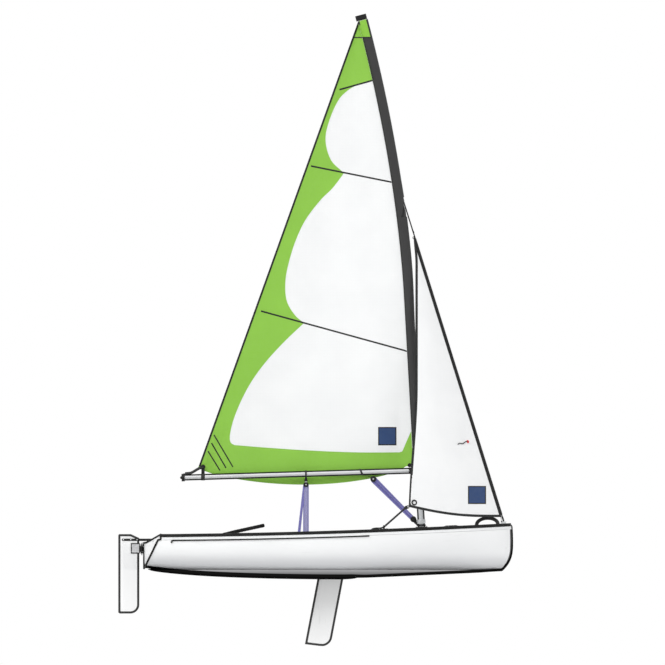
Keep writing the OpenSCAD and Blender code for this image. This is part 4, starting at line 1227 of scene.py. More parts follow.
def sleeve_ring(h, shrink=0.0):
    c, ax = Vector(place((mast_x(h), 0, h))), mast_axis(h)
    fore = Vector((ax.z, 0, -ax.x))
    ring = []
    wrinkle = 0.5 * math.sin(h * 0.021) + 0.35 * math.sin(h * 0.053 + 1.1)
    full = 9 * ramp(h, 2000, 2600) * (1 - 0.6 * ramp(h, 2900, 3300))
    for ca, sa in circle(36):
        rx = SLEEVE_W / 2 - shrink + (full if ca > 0 else 0)
        ry = (MAST_R + 4 - shrink) * (1 - 0.3 * max(-ca, 0) ** 2)
        puff = wrinkle * sa * sa * (1 if sa > 0 else -1)
        ring.append(c + (fore * (rx * ca) + Vector((0, 1, 0)) * (ry * sa + puff)) * MM)
    return ring


heights = [mix(TACK_H, MAST_HEAD_H - 0.5, i / 130) for i in range(131)]
sleeve_rings = [sleeve_ring(h) for h in heights] + [sleeve_ring(h, 1.6) for h in heights[::-1]]
sleeve = Parts().loft(sleeve_rings, closed=True).build("luff_sleeve_cloth", mat_sleeve, "rig",
                                                       "sleeve_cloth", ["luff_sleeve"])
hounds = turned(place((mast_line(HOUNDS_H), 0, HOUNDS_H)), mast_up)
cut(sleeve, Parts().lathe([(WINDOW_LOW * STAY_SPREAD * MM + 0.008, -WINDOW_LOW * MM), (0.0165, 0),
                           (0.0165, 0.024)], 40, matrix=hounds))
shade(sleeve.data, 50)
wrap = []
for h in [HOUNDS_H - WINDOW_LOW - 24 + k * 6 for k in range(30)]:
    back, front = mast_x(h) - 25, mast_line(h) - 3
    wrap.append([place(((back + front) / 2 + (front - back) / 2 * c, 25 * s, h)) for c, s in circle(32)])
boss = [(0.0002, -0.027)]
for d in range(28, int(WINDOW_LOW) + 4, 6):
    front = mast_x(HOUNDS_H - d) - mast_line(HOUNDS_H - d) + SLEEVE_W / 2 + 4
    boss.append((min(d * STAY_SPREAD - 6.8, front) * MM, -d * MM))
boss.append((0.0002, boss[-1][1] - 0.001))
hounds_wrap = Parts().loft(wrap).lathe(boss, 32, 0, hounds).build("hounds_wrap", mat_sleeve, "rig",
                                                                  "sleeve_cloth", angle=50)
for piece in (sleeve, hounds_wrap):
    spots = coords(piece) / MM
    mark(piece, "head", [(z + DRAUGHT - HEAD_SEAM_H) * MM for _, _, z in spots])
    mark(piece, "aft", [(mast_x(z + DRAUGHT) - x) * mast_axis(z + DRAUGHT).z * MM for x, _, z in spots])

# ---------------------------------------------------------------- deck fittings
FITTING = [mat_plastic, mat_steel, mat_tube]


FAIRLEAD_X, CLEAT_X, EYE_X = 452.0, 385.0, 1404.0
FAIRLEAD_Y = half_breadth(FAIRLEAD_X) - 75
SHEET_X, TAIL_X, TRUNK_H, TILLER_H = -178.0, -258.0, 300.0, 321.0


def up_of(m):
    return m.to_3x3() @ Vector((0, 0, 1))


def deck_slope(x, half):
    return math.atan2(sheer(x + half) - sheer(x - half), 2 * half)


def on_deck(x, y, half):
    """A matrix standing on the foredeck's chord from x - half to x + half."""
    h = (sheer(x + half) + sheer(x - half)) / 2 + 1
    m = Matrix.Rotation(-deck_slope(x, half), 4, "Y")
    m.translation = point(x, y, h)
    return m


def grab_handle():
    m, parts = on_deck(1287, 0, 101), Parts()
    path, n = [], 40
    for k in range(n + 1):
        a = math.pi * k / n
        path.append(m @ Vector((-0.086 * math.cos(a), 0, 0.053 * math.sin(a) ** 0.94)))
    rings = []
    for i, p in enumerate(path):
        t = heading(path, i)
        if i in (0, n):
            t = (m.to_3x3() @ Vector((0, 0, 1 if i == 0 else -1))).normalized()
        up = Vector((0, 1, 0)).cross(t).normalized()
        swell = 1 + 0.12 * abs(2 * i / n - 1) ** 3
        grip = 1 - 0.03 * (math.sin(i * 1.9) > 0.3) * (abs(2 * i / n - 1) < 0.6)
        rings.append([p + Vector((0, 1, 0)) * (0.0168 * swell * squarer(c, 0.55))
                      + up * (0.0148 * grip * squarer(s, 0.55)) for c, s in circle(20, 0.5)])
    parts.loft(rings)
    for s in (-1, 1):
        foot = m @ Matrix.Translation((s * 0.0855, 0, 0))
        pad(parts, (0.031, 0.034, 0.006), 0.008, 0.002, 0, foot)
        for y in (-0.0115, 0.0115):
            screw(parts, foot @ Vector((s * 0.011, y, 0.0062)), up_of(foot), 0.0026, 1)
    return parts.build("grab_handle", FITTING, "hull", "black_plastic", ["bow_handle"])


grab_handle()


def hatch():
    m, parts = on_deck(995, 0, 60), Parts()
    parts.lathe([(0.060, 0), (0.060, 0.0024), (0.0588, 0.004), (0.056, 0.005), (0.0505, 0.005),
                 (0.0485, 0.0042), (0.0465, 0.0042), (0.046, 0.0075), (0.044, 0.009), (0.039, 0.009),
                 (0.037, 0.006), (0.018, 0.0055), (0.015, 0.0075), (0.0002, 0.008)], 64, 0, m)
    for c, s in circle(8, 0.5):
        screw(parts, m @ Vector((0.0535 * c, 0.0535 * s, 0.005)), up_of(m), 0.003, 1)
    for k in range(6):
        rib = m @ Matrix.Rotation(math.pi * k / 3, 4, "Z") @ Matrix.Translation((0.0275, 0, 0.0055))
        pad(parts, (0.018, 0.0045, 0.0028), 0.002, 0.001, 0, rib)
    return parts.build("hatch_lid", FITTING, "hull", "black_plastic", ["inspection_hatch"])


hatch()


def fairlead(side, hand):
    y = side * FAIRLEAD_Y
    m, parts = on_deck(FAIRLEAD_X, y, 32), Parts()
    pad(parts, (0.064, 0.026, 0.005), 0.012, 0.0016, 0, m)
    across = m @ Matrix.Translation((0, 0, 0.018)) @ Matrix.Rotation(math.pi / 2, 4, "Y")
    parts.ring(0.0105, 0.0042, 32, 0, across, 1.6)
    parts.ring(0.0078, 0.0012, 32, 1, across, 3.4)
    pad(parts, (0.015, 0.026, 0.009), 0.004, 0.002, 0, m @ Matrix.Translation((0, 0, 0.003)))
    for dx in (-0.024, 0.024):
        screw(parts, m @ Vector((dx, 0, 0.005)), up_of(m), 0.0045, 1)
    parts.build("sheet_fairlead_" + hand, FITTING, "hull", "black_plastic", ["jib_fairlead_" + hand])
    cleat, c = Parts(), on_deck(CLEAT_X, y, 26)
    pad(cleat, (0.052, 0.03, 0.006), 0.006, 0.0016, 0, c)
    for s in (-1, 1):
        jaw = c @ Matrix.Translation((0, s * 0.0105, 0.006))
        rings = []
        for z in (0.0, 0.002, 0.0075, 0.0095):
            squeeze = 0.9 if z in (0.0, 0.0095) else 1.0
            rings.append([(0.0085 * math.cos(a) * squeeze * (1 + 0.25 * math.cos(a)),
                           (0.0062 * math.sin(a) + 0.0005 * math.sin(9 * a)) * squeeze, z)
                          for a in [2 * math.pi * k / 36 for k in range(36)]])
        cleat.loft(rings, 2, matrix=jaw)
        screw(cleat, jaw @ Vector((0, 0, 0.0095)), up_of(jaw), 0.003, 1)
    cleat.build("sheet_cleat_" + hand, FITTING, "hull", "black_plastic")


for side, hand in ((1, "port"), (-1, "starboard")):
    fairlead(side, hand)


def drain():
    parts = Parts()
    m = standing(-1090, 0, FLOOR + 0.3)
    parts.lathe([(0.022, 0), (0.022, 0.002), (0.0205, 0.0036), (0.017, 0.004), (0.0165, 0.0025),
                 (0.0115, 0.0025), (0.0105, 0.004), (0.0098, 0.0105), (0.0085, 0.0117), (0.0002, 0.0117)],
                40, 0, m)
    pad(parts, (0.016, 0.0035, 0.003), 0.001, 0.0008, 0, m @ Matrix.Translation((0, 0, 0.0105)))
    for c, s in circle(3):
        screw(parts, m @ Vector((0.019 * c, 0.019 * s, 0.0038)), (0, 0, 1), 0.0018, 1)
    parts.build("drain_bung", FITTING, "hull", "black_plastic", ["drain_plug"])


drain()


def toe_strap():
    parts, n = Parts(), 60
    x0, x1 = -1165.0, -253.0
    path = []
    for i in range(n + 1):
        t = i / n
        sag = 8 * math.sin(math.pi * min(max((t - 0.03) / 0.94, 0), 1)) ** 1.2
        path.append(point(mix(x0, x1, t), 0, FLOOR + 42 - sag))
    strap(parts, path, (0, 1, 0), 0.040, 0.0032)
    strap(parts, [p + Vector((0, 0, 0.0026)) for p in path[10:-10]], (0, 1, 0), 0.036, 0.0022, 1)
    parts.build("hiking_strap", [mat_webbing, mat_foam], "hull", "webbing", ["toe_strap"])
    bars = Parts()
    for x in (x0 + 20, x1 - 20):
        m = standing(x, 0, FLOOR)
        pad(bars, (0.016, 0.044, 0.003), 0.004, 0.001, 0, m)
        loop = [point(x, -18, FLOOR + 2), point(x, -18, FLOOR + 34), point(x, -15, FLOOR + 38.4),
                point(x, 0, FLOOR + 39.2), point(x, 15, FLOOR + 38.4), point(x, 18, FLOOR + 34),
                point(x, 18, FLOOR + 2)]
        bars.tube(loop, 0.0024, 10, 0, False)
        for y in (-9, 9):
            screw(bars, point(x, y, FLOOR + 3), (0, 0, 1), 0.004, 0)
    bars.build("strap_bars", mat_steel, "hull", "stainless", ["toe_strap_anchors"])


toe_strap()


def trunk():
    rake = math.radians(BOARD_RAKE)
    cx, length, width = BOARD_X + 40, BOARD_CHORD + 4 + 120, BOARD_T + 4 + 44
    straight = (length - width) / 2
    parts, rings = Parts(), []
    steps = [(0.0, 5), (0.012, 3), (0.04, 1.2), (0.09, 0.2), (0.5, -0.5), (0.85, -0.5), (0.865, 2.2),
             (0.9, 3.4), (0.965, 3.4), (0.99, 2.2), (1.0, 0.0), (1.0, -6)]
    for share, grow in steps:
        ring = []
        for c, a0 in ((straight, -90), (-straight, 90)):
            for k in range(17):
                a = math.radians(a0 + k * 180 / 16)
                r = width / 2 + grow
                x, y = cx + c + r * math.cos(a), r * math.sin(a)
                top = (TRUNK_H / math.cos(rake) - (x - BOARD_X) * math.sin(rake)) / math.cos(rake)
                ring.append(point(x, y, mix(FLOOR + 0.2, top, share)))
        rings.append(ring)
    parts.loft(rings)
    obj = parts.build("board_trunk", mat_hull, "hull", "deck_plastic", ["daggerboard_case"])
    cut(obj, slot_cutter(0.3))
    shade(obj.data, 40)


trunk()


def sheet_base():
    parts = Parts()
    m = standing(SHEET_X, 0, FLOOR + 0.2)
    disc(parts, 0.038, 0, 0.0078, 0.0022, 0, m, 48)
    for c, s in circle(4, 0.5):
        screw(parts, m @ Vector((0.029 * c, 0.029 * s, 0.0078)), (0, 0, 1), 0.0045, 1)
    coil = [m @ Vector((0.0115 * math.cos(0.5 * k), 0.0115 * math.sin(0.5 * k), 0.0095 + 0.00034 * k))
            for k in range(70)]
    parts.tube(coil, 0.0012, 8, 1)
    disc(parts, 0.0075, 0.006, 0.034, 0.001, 1, m)
    block(parts, point(SHEET_X, 0, FLOOR + 50), 0.024, 0.028, point(SHEET_X, 0, FLOOR + 26))
    arm = standing(TAIL_X, 0, FLOOR + 2)
    strap(parts, [point(-190, 0, FLOOR + 9), point(-225, 0, FLOOR + 9), point(TAIL_X, 0, FLOOR + 9)],
          (0, 1, 0), 0.018, 0.004, 1)
    pad(parts, (0.034, 0.03, 0.012), 0.007, 0.002, 0, arm)
    upright = Matrix.Translation((0, 0, 0.019)) @ Matrix.Rotation(math.pi / 2, 4, "X")
    parts.ring(0.008, 0.0026, 28, 1, arm @ upright)
    parts.build("sheet_turning_block", FITTING, "hull", "black_plastic", ["mainsheet_base"])


sheet_base()

# ---------------------------------------------------------------- foils
def foil_piece(name, heights, lead, trail, thick, matrix, body, node, head=None):
    """A foil between its leading and trailing edges, with the distance to its outline marked."""
    cols = 44
    shares = [(1 - math.cos(math.pi * j / cols)) / 2 for j in range(cols + 1)]
    low, high = heights[0], heights[-1]
    sides = []
    for sign in (1, -1):
        grid = []
        for h in heights:
            a, b = lead(h), trail(h)
            row = []
            for s in shares:
                x = mix(a, b, s)
                nose = math.sqrt(max(1 - (1 - min((a - x) / (thick * 0.75), 1)) ** 2, 0))
                tail = 0.09 + 0.91 * ease((x - b) / 46)
                foot = math.sqrt(max(1 - (1 - min((h - low + 0.4) / 7, 1)) ** 2, 0.02))
                top = math.sqrt(max(1 - (1 - min((high - h + 0.6) / 4, 1)) ** 2, 0.2))
                half = thick / 2 * max(nose, 0.05) * tail * foot * top
                row.append(matrix @ Vector((x * MM, sign * half * MM, h * MM)))
            grid.append(row)
        sides.append(grid)
    obj = Parts().grid(*sides).build(name, mat_foil, body, "foil_plastic", [node], angle=42)
    outline = [(lead(h), h) for h in heights] + [(trail(h), h) for h in reversed(heights)]
    co = coords(obj)
    back = np.array(matrix.inverted())
    local = co @ back[:3, :3].T + back[:3, 3]
    mark(obj, "edge", np.abs(signed_distance(local[:, [0, 2]] / MM, np.array(outline, float))))
    return obj


PIN_X = -HALF_L - 20
RUDDER_LE, RUDDER_TOP, RUDDER_LOW = PIN_X - 19.5, 367.0, -275.0
RUDDER_CHORD, RUDDER_NOSE = 170.0, 72.0
RUDDER_TE = RUDDER_LE - RUDDER_CHORD


def rudder_lead(h):
    if h > RUDDER_TOP - 32:
        return RUDDER_LE - (h - RUDDER_TOP + 32) / 32 * 0.4 * RUDDER_CHORD
    if h < RUDDER_LOW + RUDDER_NOSE:
        down = RUDDER_LOW + RUDDER_NOSE - h
        return RUDDER_LE - RUDDER_NOSE + math.sqrt(max(RUDDER_NOSE ** 2 - down ** 2, 0))
    return RUDDER_LE


def rudder_trail(h):
    return RUDDER_TE + max(h - RUDDER_TOP + 8, 0.0) + 10 * ease((RUDDER_LOW + 10 - h) / 10)


def level_list(low, high, fine_high):
    out = [low + v for v in (0, 0.6, 1.6, 3, 5, 8, 12, 17, 23, 30, 38, 47, 57, 66, 74, 85)]
    out += spread(low + 100, high - fine_high, 46)
    return out + [high - fine_high * (1 - k / 14) ** 1.6 for k in range(15)]


origin = Matrix.Translation((0, 0, -DRAUGHT * MM))
rudder_foil = foil_piece("rudder_foil", level_list(RUDDER_LOW, RUDDER_TOP, 40), rudder_lead,
                         rudder_trail, 20, origin, "rudder", "rudder_blade")
BOARD_TOP = TRUNK_H / math.cos(math.radians(BOARD_RAKE))
BOARD_LOW = -528 / math.cos(math.radians(BOARD_RAKE))


def board_lead(h):
    nose, tip, half = 84.0, 14.0, BOARD_CHORD / 2
    low = BOARD_LOW - tip * nose / BOARD_CHORD
    x = half
    if h < low + nose:
        x = half - nose + math.sqrt(max(nose ** 2 - (low + nose - h) ** 2, 0))
    if h < low:
        x = min(x, half - BOARD_CHORD * (BOARD_LOW - h) / tip)
    return max(x, -half + 0.6)


board_foil = foil_piece("board_foil", level_list(BOARD_LOW - 14, BOARD_TOP + 0.2, 20), board_lead,
                        lambda h: -BOARD_CHORD / 2, 22, board_matrix(), "daggerboard", "daggerboard")


def foil_bolts():
    parts = Parts()
    for x in (-75, -45):
        for h in (225, 268):
            for s in (-1, 1):
                at = point(PIN_X + x, s * 15.4, h)
                parts.lathe([(0.0068, 0), (0.0068, 0.0012), (0.0045, 0.0014), (0.0045, 0.0052),
                             (0.0002, 0.0056)], 6, 0, turned(at, (0, s, 0)))
    parts.build("bracket_bolts", mat_steel, "rudder", "stainless")
    plate = Parts()
    for h in (115, 190, 265):
        for y in (-10, 10):
            screw(plate, point(-HALF_L - 6.2, y, h), (-1, 0, 0), 0.0045)
    plate.build("transom_screws", mat_steel, "hull", "stainless")
    rim = Parts()
    m = standing(PIN_X, 0, 298.4)
    upright = Matrix.Translation((0.006, 0, 0.004)) @ Matrix.Rotation(math.pi / 2, 4, "X")
    rim.ring(0.0052, 0.0011, 24, 0, m @ upright)
    rim.build("pin_split_ring", mat_steel, "rudder", "stainless")


foil_bolts()


def extension():
    front = PIN_X + 570
    start = point(front - 12, 0, TILLER_H + 10 + 12)
    a = math.radians(12.4)
    d = Vector((math.cos(a), 0, math.sin(a)))
    m = turned(start, d, (0, 1, 0))
    parts, length = Parts(), 0.445
    stick = length * 0.22
    parts.lathe([(0.0002, -0.004), (0.006, -0.0035), (0.0078, -0.001), (0.0078, stick + 0.002),
                 (0.0002, stick + 0.003)], 28, 0, m)
    parts.ring(0.0078, 0.0016, 28, 0, m @ Matrix.Translation((0, 0, 0.022)), 3.0)
    profile = [(0.0079, stick), (0.0105, stick + 0.001), (0.0118, stick + 0.006)]
    n = 36
    for k in range(n + 1):
        z = mix(stick + 0.009, length - 0.016, k / n)
        full = mix(0.0122, 0.0149, ease(k / 12))
        profile.append((full - (0.0011 if k % 3 == 0 and 0 < k < n else 0), z))
    profile += [(0.0149, length - 0.012), (0.0142, length - 0.006), (0.0118, length - 0.002),
                (0.006, length), (0.0002, length)]
    parts.lathe(profile, 32, 1, m)
    parts.build("extension_stick", [mat_tube, mat_foam], "rudder", "black_tube", ["tiller_extension"])
    cheeks = Parts()
    for s in (-1, 1):
        side = turned(point(RUDDER_LE - 68, s * 9.6, TILLER_H), (0, s, 0))
        pad(cheeks, (0.142, 0.0185, 0.0032), 0.006, 0.0012, 0, side)
        for x in (-60, 0, 50):
            screw(cheeks, point(RUDDER_LE - 68 + x, s * 12.8, TILLER_H), (0, s, 0), 0.0048, 1)
    cheeks.build("tiller_cheeks", FITTING, "rudder", "black_plastic")
    trim = Parts()
    for x in (RUDDER_TE + 33 - 1.5, front + 1.0):
        trim.lathe([(0.0002, -0.003), (0.0085, -0.003), (0.0103, -0.0015), (0.0103, 0.0015),
                    (0.0085, 0.003), (0.0002, 0.003)], 32, 0, turned(point(x, 0, TILLER_H), (1, 0, 0)))
    trim.build("tiller_end_plugs", mat_plastic, "rudder", "black_plastic")


extension()

# ---------------------------------------------------------------- spars and their fittings
BOOM_FRONT_H, BOOM_AFT_H, BOOM_L = 879.0, 824.0, 1834.0
BOOM_TILT = math.asin((BOOM_FRONT_H - BOOM_AFT_H) / BOOM_L)
BOOM_FRONT_X = mast_line(BOOM_FRONT_H) - MAST_R - 24
BOOM_END_X = BOOM_FRONT_X - BOOM_L * math.cos(BOOM_TILT)
boom_dir = Vector((-math.cos(BOOM_TILT), 0, -math.sin(BOOM_TILT)))


def boom_h(x):
    return BOOM_FRONT_H - (BOOM_FRONT_X - x) * math.tan(BOOM_TILT)


def boom_m(x):
    return turned(point(x, 0, boom_h(x)), boom_dir, (0, 1, 0))


def boom_bits():
    parts = Parts()
    parts.lathe([(0.0252, -0.010), (0.0262, -0.009), (0.0262, 0.009), (0.0252, 0.010),
                 (0.0245, 0.0), (0.0252, -0.0099)], 40, 0, boom_m(BOOM_FRONT_X - 14))
    for x in (BOOM_FRONT_X - 20, BOOM_FRONT_X - 44):
        for s in (-1, 1):
            screw(parts, point(x, s * 25.2, boom_h(x)), (0, s, 0), 0.0042, 1)
    parts.build("boom_fittings", FITTING, "rig", "black_plastic")


boom_bits()


def clew_gear():
    x = CLEW_X + 38
    parts, centre, loop = Parts(), point(x, 0, boom_h(x)), []
    for k in range(41):
        a = math.radians(-90 + 360 * k / 40)
        loop.append(centre + Vector((0, math.cos(a), math.sin(a))) * 0.0268)
    strap(parts, loop, (1, 0, 0), 0.031, 0.0024)
    neck = [(x, 12, boom_h(x) + 27), (x, -1, boom_h(x) + 52), (x + 1, -5, CLEW_H - 8)]
    strap(parts, smooth_path([point(*p) for p in neck], 6), (1, 0, 0), 0.027, 0.003)
    knob = turned(point(x + 1, -5, CLEW_H + 2), (0, -1, 0))
    parts.ring(0.0125, 0.0062, 32, 1, knob)
    disc(parts, 0.0105, -0.008, 0.009, 0.003, 1, knob)
    parts.build("clew_tie", [mat_webbing, mat_plastic], "rig", "webbing", ["clew_strap"])
    line = Parts()
    for dy, dh in ((-9, 0), (4, 7)):
        run = [(BOOM_END_X + 8, dy, boom_h(BOOM_END_X) + 29 + dh),
               (BOOM_END_X + 52, dy, boom_h(BOOM_END_X) + 35 + dh),
               (x - 44, dy - 2, CLEW_H - 20 + dh), (x - 8, dy - 2, CLEW_H - 3 + dh)]
        line.tube(smooth_path([point(*p) for p in run], 8), 0.0082, 12)
    line.build("outhaul", mat_line, "rig")
    end = Parts()
    pad(end, (0.034, 0.02, 0.008), 0.004, 0.002, 0,
        standing(BOOM_END_X + 4, 0, boom_h(BOOM_END_X) + 25.5))
    for y in (-1, 1):
        screw(end, point(BOOM_END_X - 12, y * 31.2, boom_h(BOOM_END_X)), (0, y, 0), 0.005, 0)
    end.build("boom_end_block", FITTING, "rig", "black_plastic")


clew_gear()


def boom_blocks():
    x, parts = SHEET_X, Parts()
    top = boom_h(x)
    loop = [point(x, 27.2 * math.cos(math.radians(a)), top + 27.2 * math.sin(math.radians(a)))
            for a in range(-90, 271, 10)]
    strap(parts, loop, (1, 0, 0), 0.014, 0.0024, 3)
    low = top - 33 - 54
    neck = [(0.0055, 0.0), (0.009, 0.008), (0.013, 0.022), (0.0155, 0.034)]
    parts.lathe(neck + [(0.0002, 0.036)], 24, 0, turned(point(x, 0, top - 27), (0, 0, -1)))
    block(parts, point(x, 0, low), 0.021, 0.026, point(x, 0, low + 30))
    parts.build("boom_block", FITTING + [mat_webbing], "rig", "black_plastic", ["mainsheet_block"])
    vang, bx, bh = Parts(), 366, 812
    block(vang, point(bx, 0, bh), 0.024, 0.030, point(bx - 12, 0, bh + 18))
    sx = 259
    loop = [point(sx + 22 * (1 - math.sin(math.radians(a))) / 2, 26.8 * math.cos(math.radians(a)),
                  boom_h(sx) + 26.8 * math.sin(math.radians(a))) for a in range(-70, 251, 10)]
    strap(vang, loop, (1, 0, 0), 0.016, 0.0026, 3)
    for s in (-1, 1):
        tie = [point(sx + 20, s * 10, boom_h(sx) - 24), point(315, s * 8, 838),
               point(bx - 14, s * 6, bh + 14)]
        strap(vang, smooth_path(tie, 6), (0, 1, 0), 0.011, 0.0028, 3)
    vang.build("vang_top_block", FITTING + [mat_webbing], "rig", "black_plastic", ["vang_block"])
    foot, fx, fh = Parts(), 702, 474
    d = (point(fx, 0, fh) - point(bx, 0, bh)).normalized()
    block(foot, point(fx - 12, 0, fh + 13), 0.0245, 0.030, point(fx + 6, 0, fh - 8), steel=2)
    horn = [point(fx - 2, 0, fh - 2), point(fx + 10, 0, fh - 18), point(fx + 22, 0, fh - 32)]
    foot.tube(smooth_path(horn, 6),
              [mix(0.014, 0.008, k / 12) for k in range(13)], 16, 0)
    foot.build("vang_foot_block", FITTING, "rig", "black_plastic")


boom_blocks()


def strands(name, a, b, offsets, r, mat, body=None, across=(1, 0, 0), blend=None):
    """Rope parts side by side between two points; offsets are (along across, along Y) in m."""
    parts = Parts()
    d = (Vector(b) - Vector(a)).normalized()
    side = (Vector(across) - d * Vector(across).dot(d)).normalized()
    n = 48
    for u, w, u2 in offsets:
        p = [Vector(a).lerp(Vector(b), i / n) + side * mix(u, u2, i / n) + Vector((0, w, 0))
             for i in range(n + 1)]
        parts.tube(p, r, 14)
    obj = parts.build(name, mat, body)
    if blend:
        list(blend[:2])
        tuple(blend[2])
        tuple(blend[3])
        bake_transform(obj)
    return obj


sheet_top, sheet_low = point(SHEET_X, 0, boom_h(SHEET_X) - 87), point(SHEET_X, 0, FLOOR + 52)
strands("mainsheet_falls", sheet_low, sheet_top,
        [(-0.0158, 0.003, -0.0158), (0.0, -0.006, 0.0), (0.0158, 0.003, 0.0158)], 0.0068, mat_sheet,
        blend=("hull", "rig", sheet_low, sheet_top))
tail_low = point(TAIL_X - 1, 0, FLOOR + 24)
strands("mainsheet_tail", tail_low, point(SHEET_X - 14, 0, boom_h(SHEET_X) - 98),
        [(-0.004, 0.0, -0.004), (0.009, 0.002, 0.002)], 0.0062, mat_sheet,
        blend=("hull", "rig", tail_low, sheet_top))
vang_a, vang_b = point(370, 0, 806), point(694, 0, 482)
strands("vang_falls", vang_a, vang_b,
        [(-0.0195, 0.0, -0.012), (-0.0065, 0.006, -0.004), (0.0065, -0.006, 0.004), (0.0195, 0.0, 0.012)],
        0.0066, mat_sheet, "rig", across=(1, 0, 1))

# ---------------------------------------------------------------- jib rigging


def stay_gear():
    parts = Parts()
    wire = [foot_at.lerp(top_at, k / 60) - stay_d * (0.004 if k == 0 else 0) for k in range(61)]
    parts.tube(wire, 0.0055, 12, 0)
    parts.lathe([(0.0002, 0.0025), (0.0035, 0.0027), (0.0062, 0.005), (0.007, 0.009), (0.0062, 0.013),
                 (0.0035, 0.0156), (0.0002, 0.0162)], 24, 1, turned(top_at, stay_d))
    parts.lathe([(0.0055, 0.0), (0.0072, 0.001), (0.0072, 0.03), (0.0062, 0.034), (0.0054, 0.035)], 20, 0,
                turned(foot_at - stay_d * 0.002, stay_d))
    parts.build("stay_wire", [mat_tube, mat_steel], "hull", "stainless", ["forestay"])
    shackle = Parts()
    eye = point(EYE_X, 0, 464)
    bow = [eye + Vector((0, 0.0058, 0)), eye + Vector((0.001, 0.0066, 0.006)),
           foot_at + Vector((-0.002, 0.0045, -0.002)), foot_at + Vector((0.0, 0.0, 0.004)),
           foot_at + Vector((-0.002, -0.0045, -0.002)), eye + Vector((0.001, -0.0066, 0.006)),
           eye + Vector((0, -0.0058, 0))]
    shackle.tube(smooth_path(bow, 6), 0.0021, 10)
    shackle.lathe([(0.0002, -0.009), (0.0026, -0.009), (0.0026, 0.009), (0.0002, 0.009)], 16, 0,
                  turned(eye, (0, 1, 0)))
    shackle.build("bow_shackle", mat_tube, "hull", "stainless")


stay_gear()


def jib_gear():
    lash = Parts()
    tack = Vector(jib_point(0, 1.0))
    eye = point(EYE_X, 0, 466)
    for dy in (-0.005, 0.005):
        lash.tube([eye + Vector((-0.004, dy, 0.0)), eye.lerp(tack, 0.5) + Vector((-0.004, dy, 0)),
                   tack + Vector((-0.006, dy * 0.8, 0.012))], 0.0022, 10)
    for v, t in ((0.006, 0.985), (0.994, 0.5)):
        m = turned(jib_point(v, t), (0, -1, 0))
        lash.ring(0.0085, 0.0026, 28, 0, m)
    lash.ring(0.0185, 0.0058, 36, 0, turned(jib_at(697, 622, -2.0), Vector((0.33, -0.9, 0.1))))
    lash.tube([Vector(jib_point(0.99, 0.5)), Vector(jib_point(1.0, 0.9)) + Vector((0.004, 0, 0.03)),
               Vector(place(stay_at(2840)))], 0.0024, 10)
    lash.build("jib_lashings", mat_line, "jib")
    tale = Parts()
    pts = []
    for k in range(25):
        t = k / 24
        x, h = mix(1050, 1124, t), mix(1092, 1112, t) + 5 * math.sin(9 * t)
        pts.append(jib_at(x, h, -4.0))
    tale.tube(pts, 0.0036, 10)
    tale.build("jib_tell_tale", mat_line, "jib")
    dot = Parts()
    disc(dot, 0.0135, 0, 0.0012, 0.0004, 0, turned(jib_at(1126, 1113, -1.6), (0.05, -1, 0.03)))
    dot.build("tell_tale_dot", mat_red, "jib")
    ring_at = point(644, -361.5, JIB_CLEW[2])
    fair = point(FAIRLEAD_X, -FAIRLEAD_Y, sheer(FAIRLEAD_X) + 19)
    sheet = Parts()
    a = ring_at + Vector((-0.011, 0, -0.002))
    pts = [a.lerp(fair, k / 24) for k in range(25)]
    sheet.tube(pts, 0.0078, 12)
    rope = sheet.build("jib_sheet", mat_line, None)
    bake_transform(rope)
    knot = Parts()
    for k, (dx, dz, r) in enumerate(((0.0, 0.0, 0.0105), (-0.009, -0.006, 0.008))):
        knot.ring(r, 0.0042, 24, 0, turned(ring_at + Vector((-0.012 + dx, -0.001 * k, -0.004 + dz)),
                                           (0.3, 1, 0.5 * k)))
    knot.build("jib_sheet_knot", mat_line, "jib")
    tail, y = Parts(), -FAIRLEAD_Y
    wall = inner_edge(352) + 14
    run = [fair, point(425, y, sheer(425) + 11), point(CLEAT_X, y, sheer(CLEAT_X) + 11),
           point(362, y + 16, sheer(362) + 7), point(352, -wall, sheer(352) - 6),
           point(349, -wall + 34, sheer(349) - 70), point(346, -wall + 44, well_h(330) + 40)]
    tail.tube(smooth_path(run, 8), 0.0062, 12)
    tail.build("jib_sheet_tail", mat_line, "hull")


jib_gear()


def tack_gear():
    parts = Parts()
    x, h = mast_line(920) - MAST_R, 919
    parts.lathe([(0.0305, -0.008), (0.0335, -0.0075), (0.0335, 0.0075), (0.0305, 0.008),
                 (0.0302, 0.0), (0.0305, -0.0079)], 40, 0, turned(point(mast_line(h), 0, h), mast_axis(h)))
    tie = [point(x - 2, -14, 918), point(660, -9, 921), point(650, -8, 930)]
    strap(parts, smooth_path(tie, 8), (0, 0, 1), 0.014, 0.003)
    m = turned(point(660, -8.5, 923), (0, -1, 0))
    parts.ring(0.0125, 0.0042, 32, 1, m)
    disc(parts, 0.0075, -0.003, 0.004, 0.001, 1, m)
    parts.build("tack_tie", [mat_webbing, mat_plastic], "rig", "black_plastic", ["tack_fitting"])
    boot = Parts()
    low = mast_line(432)
    boot.lathe([(0.0302, 0.0), (0.0395, 0.001), (0.0405, 0.003), (0.037, 0.006), (0.0335, 0.01),
                (0.0318, 0.014), (0.0302, 0.015)], 44, 0, turned(point(low, 0, 432), mast_axis(432)))
    boot.build("mast_boot", mat_rubber, "rig", "black_rubber")


tack_gear()

